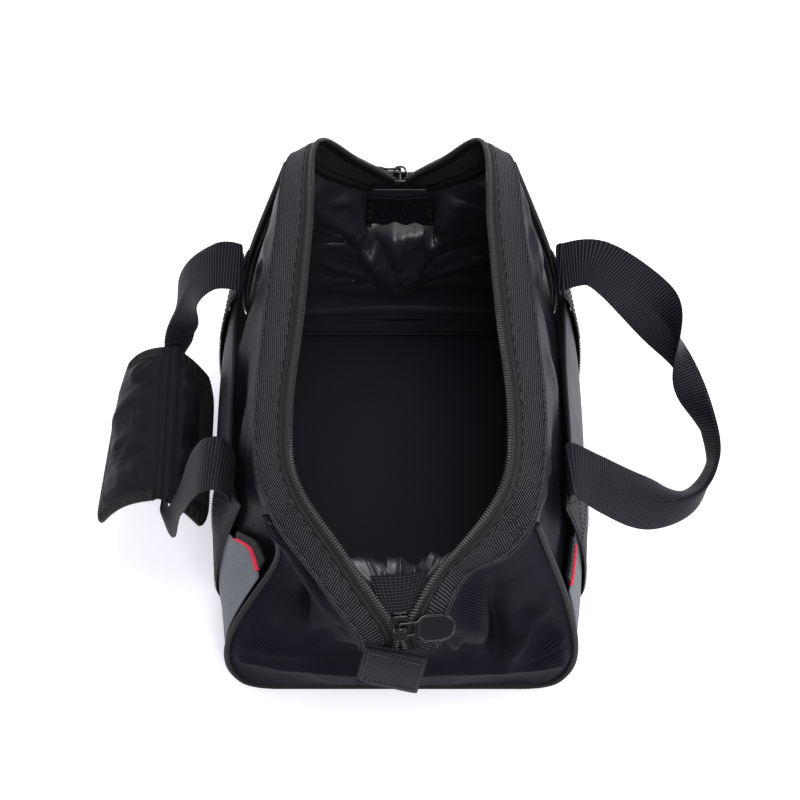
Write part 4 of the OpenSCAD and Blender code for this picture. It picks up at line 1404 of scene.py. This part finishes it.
def flap_point(edge, a, b):
    a, b = np.broadcast_arrays(np.asarray(a, float), np.asarray(b, float))
    root, tip = lerp(SEAM[0], SEAM[1], a[..., None]), lerp(edge[0], edge[1], a[..., None])
    bulge = np.sin(math.pi * b) * (PAD_ARCH + np.sign(edge[0][0] - SEAM[0][0]) * -1.5)
    return lerp(root, tip, b[..., None]) + xyz(-0.3 * bulge * (edge[0][0] < SEAM[0][0]), 0, bulge)


def corner_trim(a, rear, front):
    """How much of the flap's width is left at a, with its two outer corners rounded off."""
    left = np.ones_like(a)
    for near, size in ((a, rear), (1 - a, front)):
        t = clamp01(1 - near / size)
        left -= 0.26 * (size / 0.35) * t ** 2.6
    return left


# Puckers across the pad, as (start, end, width, height) along the grip and out from its seam.
PAD_PUCKERS = [((20, 6), (28, 34), 3.5, -2.2), ((46, 4), (40, 30), 4, -2.0), ((70, 6), (82, 30), 4, -2.3),
               ((60, 24), (72, 48), 4, 1.8), ((92, 8), (88, 36), 3.5, 1.6), ((30, 26), (50, 46), 5, 1.6),
               ((10, 40), (100, 34), 7, 1.6)]


def flap(word, edge, start, rear, front, layer):
    """One half of the padded grip: quilted cloth over foam, bound with ribbed tape."""
    a = axis0(0, 1, 120)
    b = axis1(0, 1, 80)
    reach = lerp(start, corner_trim(a, rear, front), b)
    grid = flap_point(edge, a, reach)
    near_edge = np.minimum(np.minimum(a, 1 - a) * GRIP_L, np.minimum((1 - b) * GRIP_W, b * GRIP_W + 2))
    plump = smooth((near_edge - 5) / 9.0) ** 0.7
    along, across = a * GRIP_L, reach * GRIP_W
    creases = 1.1 * soft(along, across, 19, layer) + 0.8 * crumpled(along, across, 17, layer + 1)
    creases += sum(fold(along, across, *pucker) for pucker in PAD_PUCKERS)
    half = 0.9 + (PAD_T / 2 + 0.6) * plump + creases * plump
    shape = Shape()
    flat = np.stack(np.broadcast_arrays(along, across), axis=-1)
    slab(shape, grid, -half, np.maximum(half - 2 * creases * plump, 0.8), flat)
    node = f"grip_{word}_flap"
    pad = piece(f"grip_{word}_pad", shape, "padded", body=node, replaced=[node], sharp=60)
    tape = Shape()
    ring = np.concatenate([grid[1, :-3], grid[2:-2, -2], grid[-2, -3::-1]])
    path, _ = spaced(ring, step=1.6)
    inward = grid[60, 30] - path
    t = tangents(path)
    inward = unit(inward - np.sum(inward * t, axis=1, keepdims=True) * t)
    bound_edge(tape, path + inward * 2.6, np.cross(t, inward), 8.0, 3.4)
    piece(f"grip_{word}_binding", tape, "binding", body=node)
    thread = Shape()
    up = unit(np.cross(t, inward))
    for sign in (-1, 1):
        stitches(thread, (path + inward * 5.4 + up * sign * 1.75)[3:-3], (up * sign)[3:-3], pitch=3.0)
    piece(f"grip_{word}_stitches", thread, "thread", body=node)


def grip_spine():
    a = axis0(0, 1, 130)
    x = axis1(-6.5, 6.5, 25)
    line = lerp(SEAM[0], SEAM[1], a[..., None])
    dip = 1.4 - 0.07 * x ** 2 - 1.6 * np.exp(-((x / 1.5) ** 2)) + 0.3 * soft(a * GRIP_L, x, 9, 3)
    grid = line + xyz(x, 0, dip)
    shape = slab(Shape(), grid, -0.8, 0.8)
    piece("grip_spine", shape, "padded", body="left_handle", replaced=["grip_core"])


def closure_strip(node, edge):
    """A strip of hook-and-loop tape: a woven ground with a raised pile."""
    a = axis0(0.12, 0.88, 90)
    b = axis1(0.66, 0.9, 30)
    grid = flap_point(edge, a, b)
    rough = np.random.default_rng(5).uniform(-0.22, 0.22, grid.shape[:2])
    border = np.minimum(np.minimum(a - 0.12, 0.88 - a) / 0.02, np.minimum(b - 0.66, 0.9 - b) / 0.02)
    pile = smooth(border)
    shape = Shape()
    slab(shape, grid, PAD_T / 2 + 0.2, PAD_T / 2 + 0.8 + (0.7 + rough) * pile)
    body = "grip_outer_flap" if "hook" in node else "grip_inner_flap"
    piece(node + "_pile", shape, "pile", body=body, replaced=[node])


# ---- everything together ----
camera_and_light()
LOOKS = make_looks()
underside()
end_cloth(FRONT, FRONT_FOLDS, 0)
gusset_fold()
end_cloth(REAR, REAR_FOLDS, 6)
both_sides(side_cloth, "side_cloth", "nylon", "side_panel", sharp=180, handed=True)
both_sides(pocket_cloth, "pocket_cloth", "grey", "pocket_panel", sharp=180, handed=True)
both_sides(centre_pocket, "centre_pocket_cloth", "nylon", "centre_pocket", handed=True)
both_sides(pocket_binding, "pocket_binding_tape", "binding", "pocket_binding")
both_sides(pocket_piping, "pocket_piping_cord", "red", "pocket_piping")
both_sides(pocket_thread, "pocket_stitches", "thread")
end_piping(FRONT, "front_piping")
end_piping(REAR, "rear_piping")
both_sides(zip_band, "band_webbing", "band", "zip_band", sharp=60)
both_sides(band_thread, "band_stitches", "thread")
both_sides(band_seam, "band_seam_tape", "binding")
both_sides(zip_tape, "tape_cloth", "tape", "zip_tape", sharp=60)
both_sides(zip_coil, "coil_turns", "coil", "zip_coil")
for end in (FRONT, REAR):
    slider(end)
    pull(end)
    grab_tab(end)
inner_tabs()
front_lining()
rear_lining()
both_sides(side_lining, "lining_cloth", "lining", "lining", sharp=180, handed=True)
board()
both_sides(side_webbing, "side_webbing", "webbing", "webbing", sharp=60)
both_sides(box_stitches, "webbing_stitches", "thread")
handle(RIGHT)
handle(LEFT)
grip_spine()
flap("outer", OUTER_EDGE, 0.1, 0.34, 0.16, 2)
flap("inner", INNER_EDGE, 0.12, 0.2, 0.2, 5)
closure_strip("grip_hook_strip", OUTER_EDGE)
closure_strip("grip_loop_strip", INNER_EDGE)
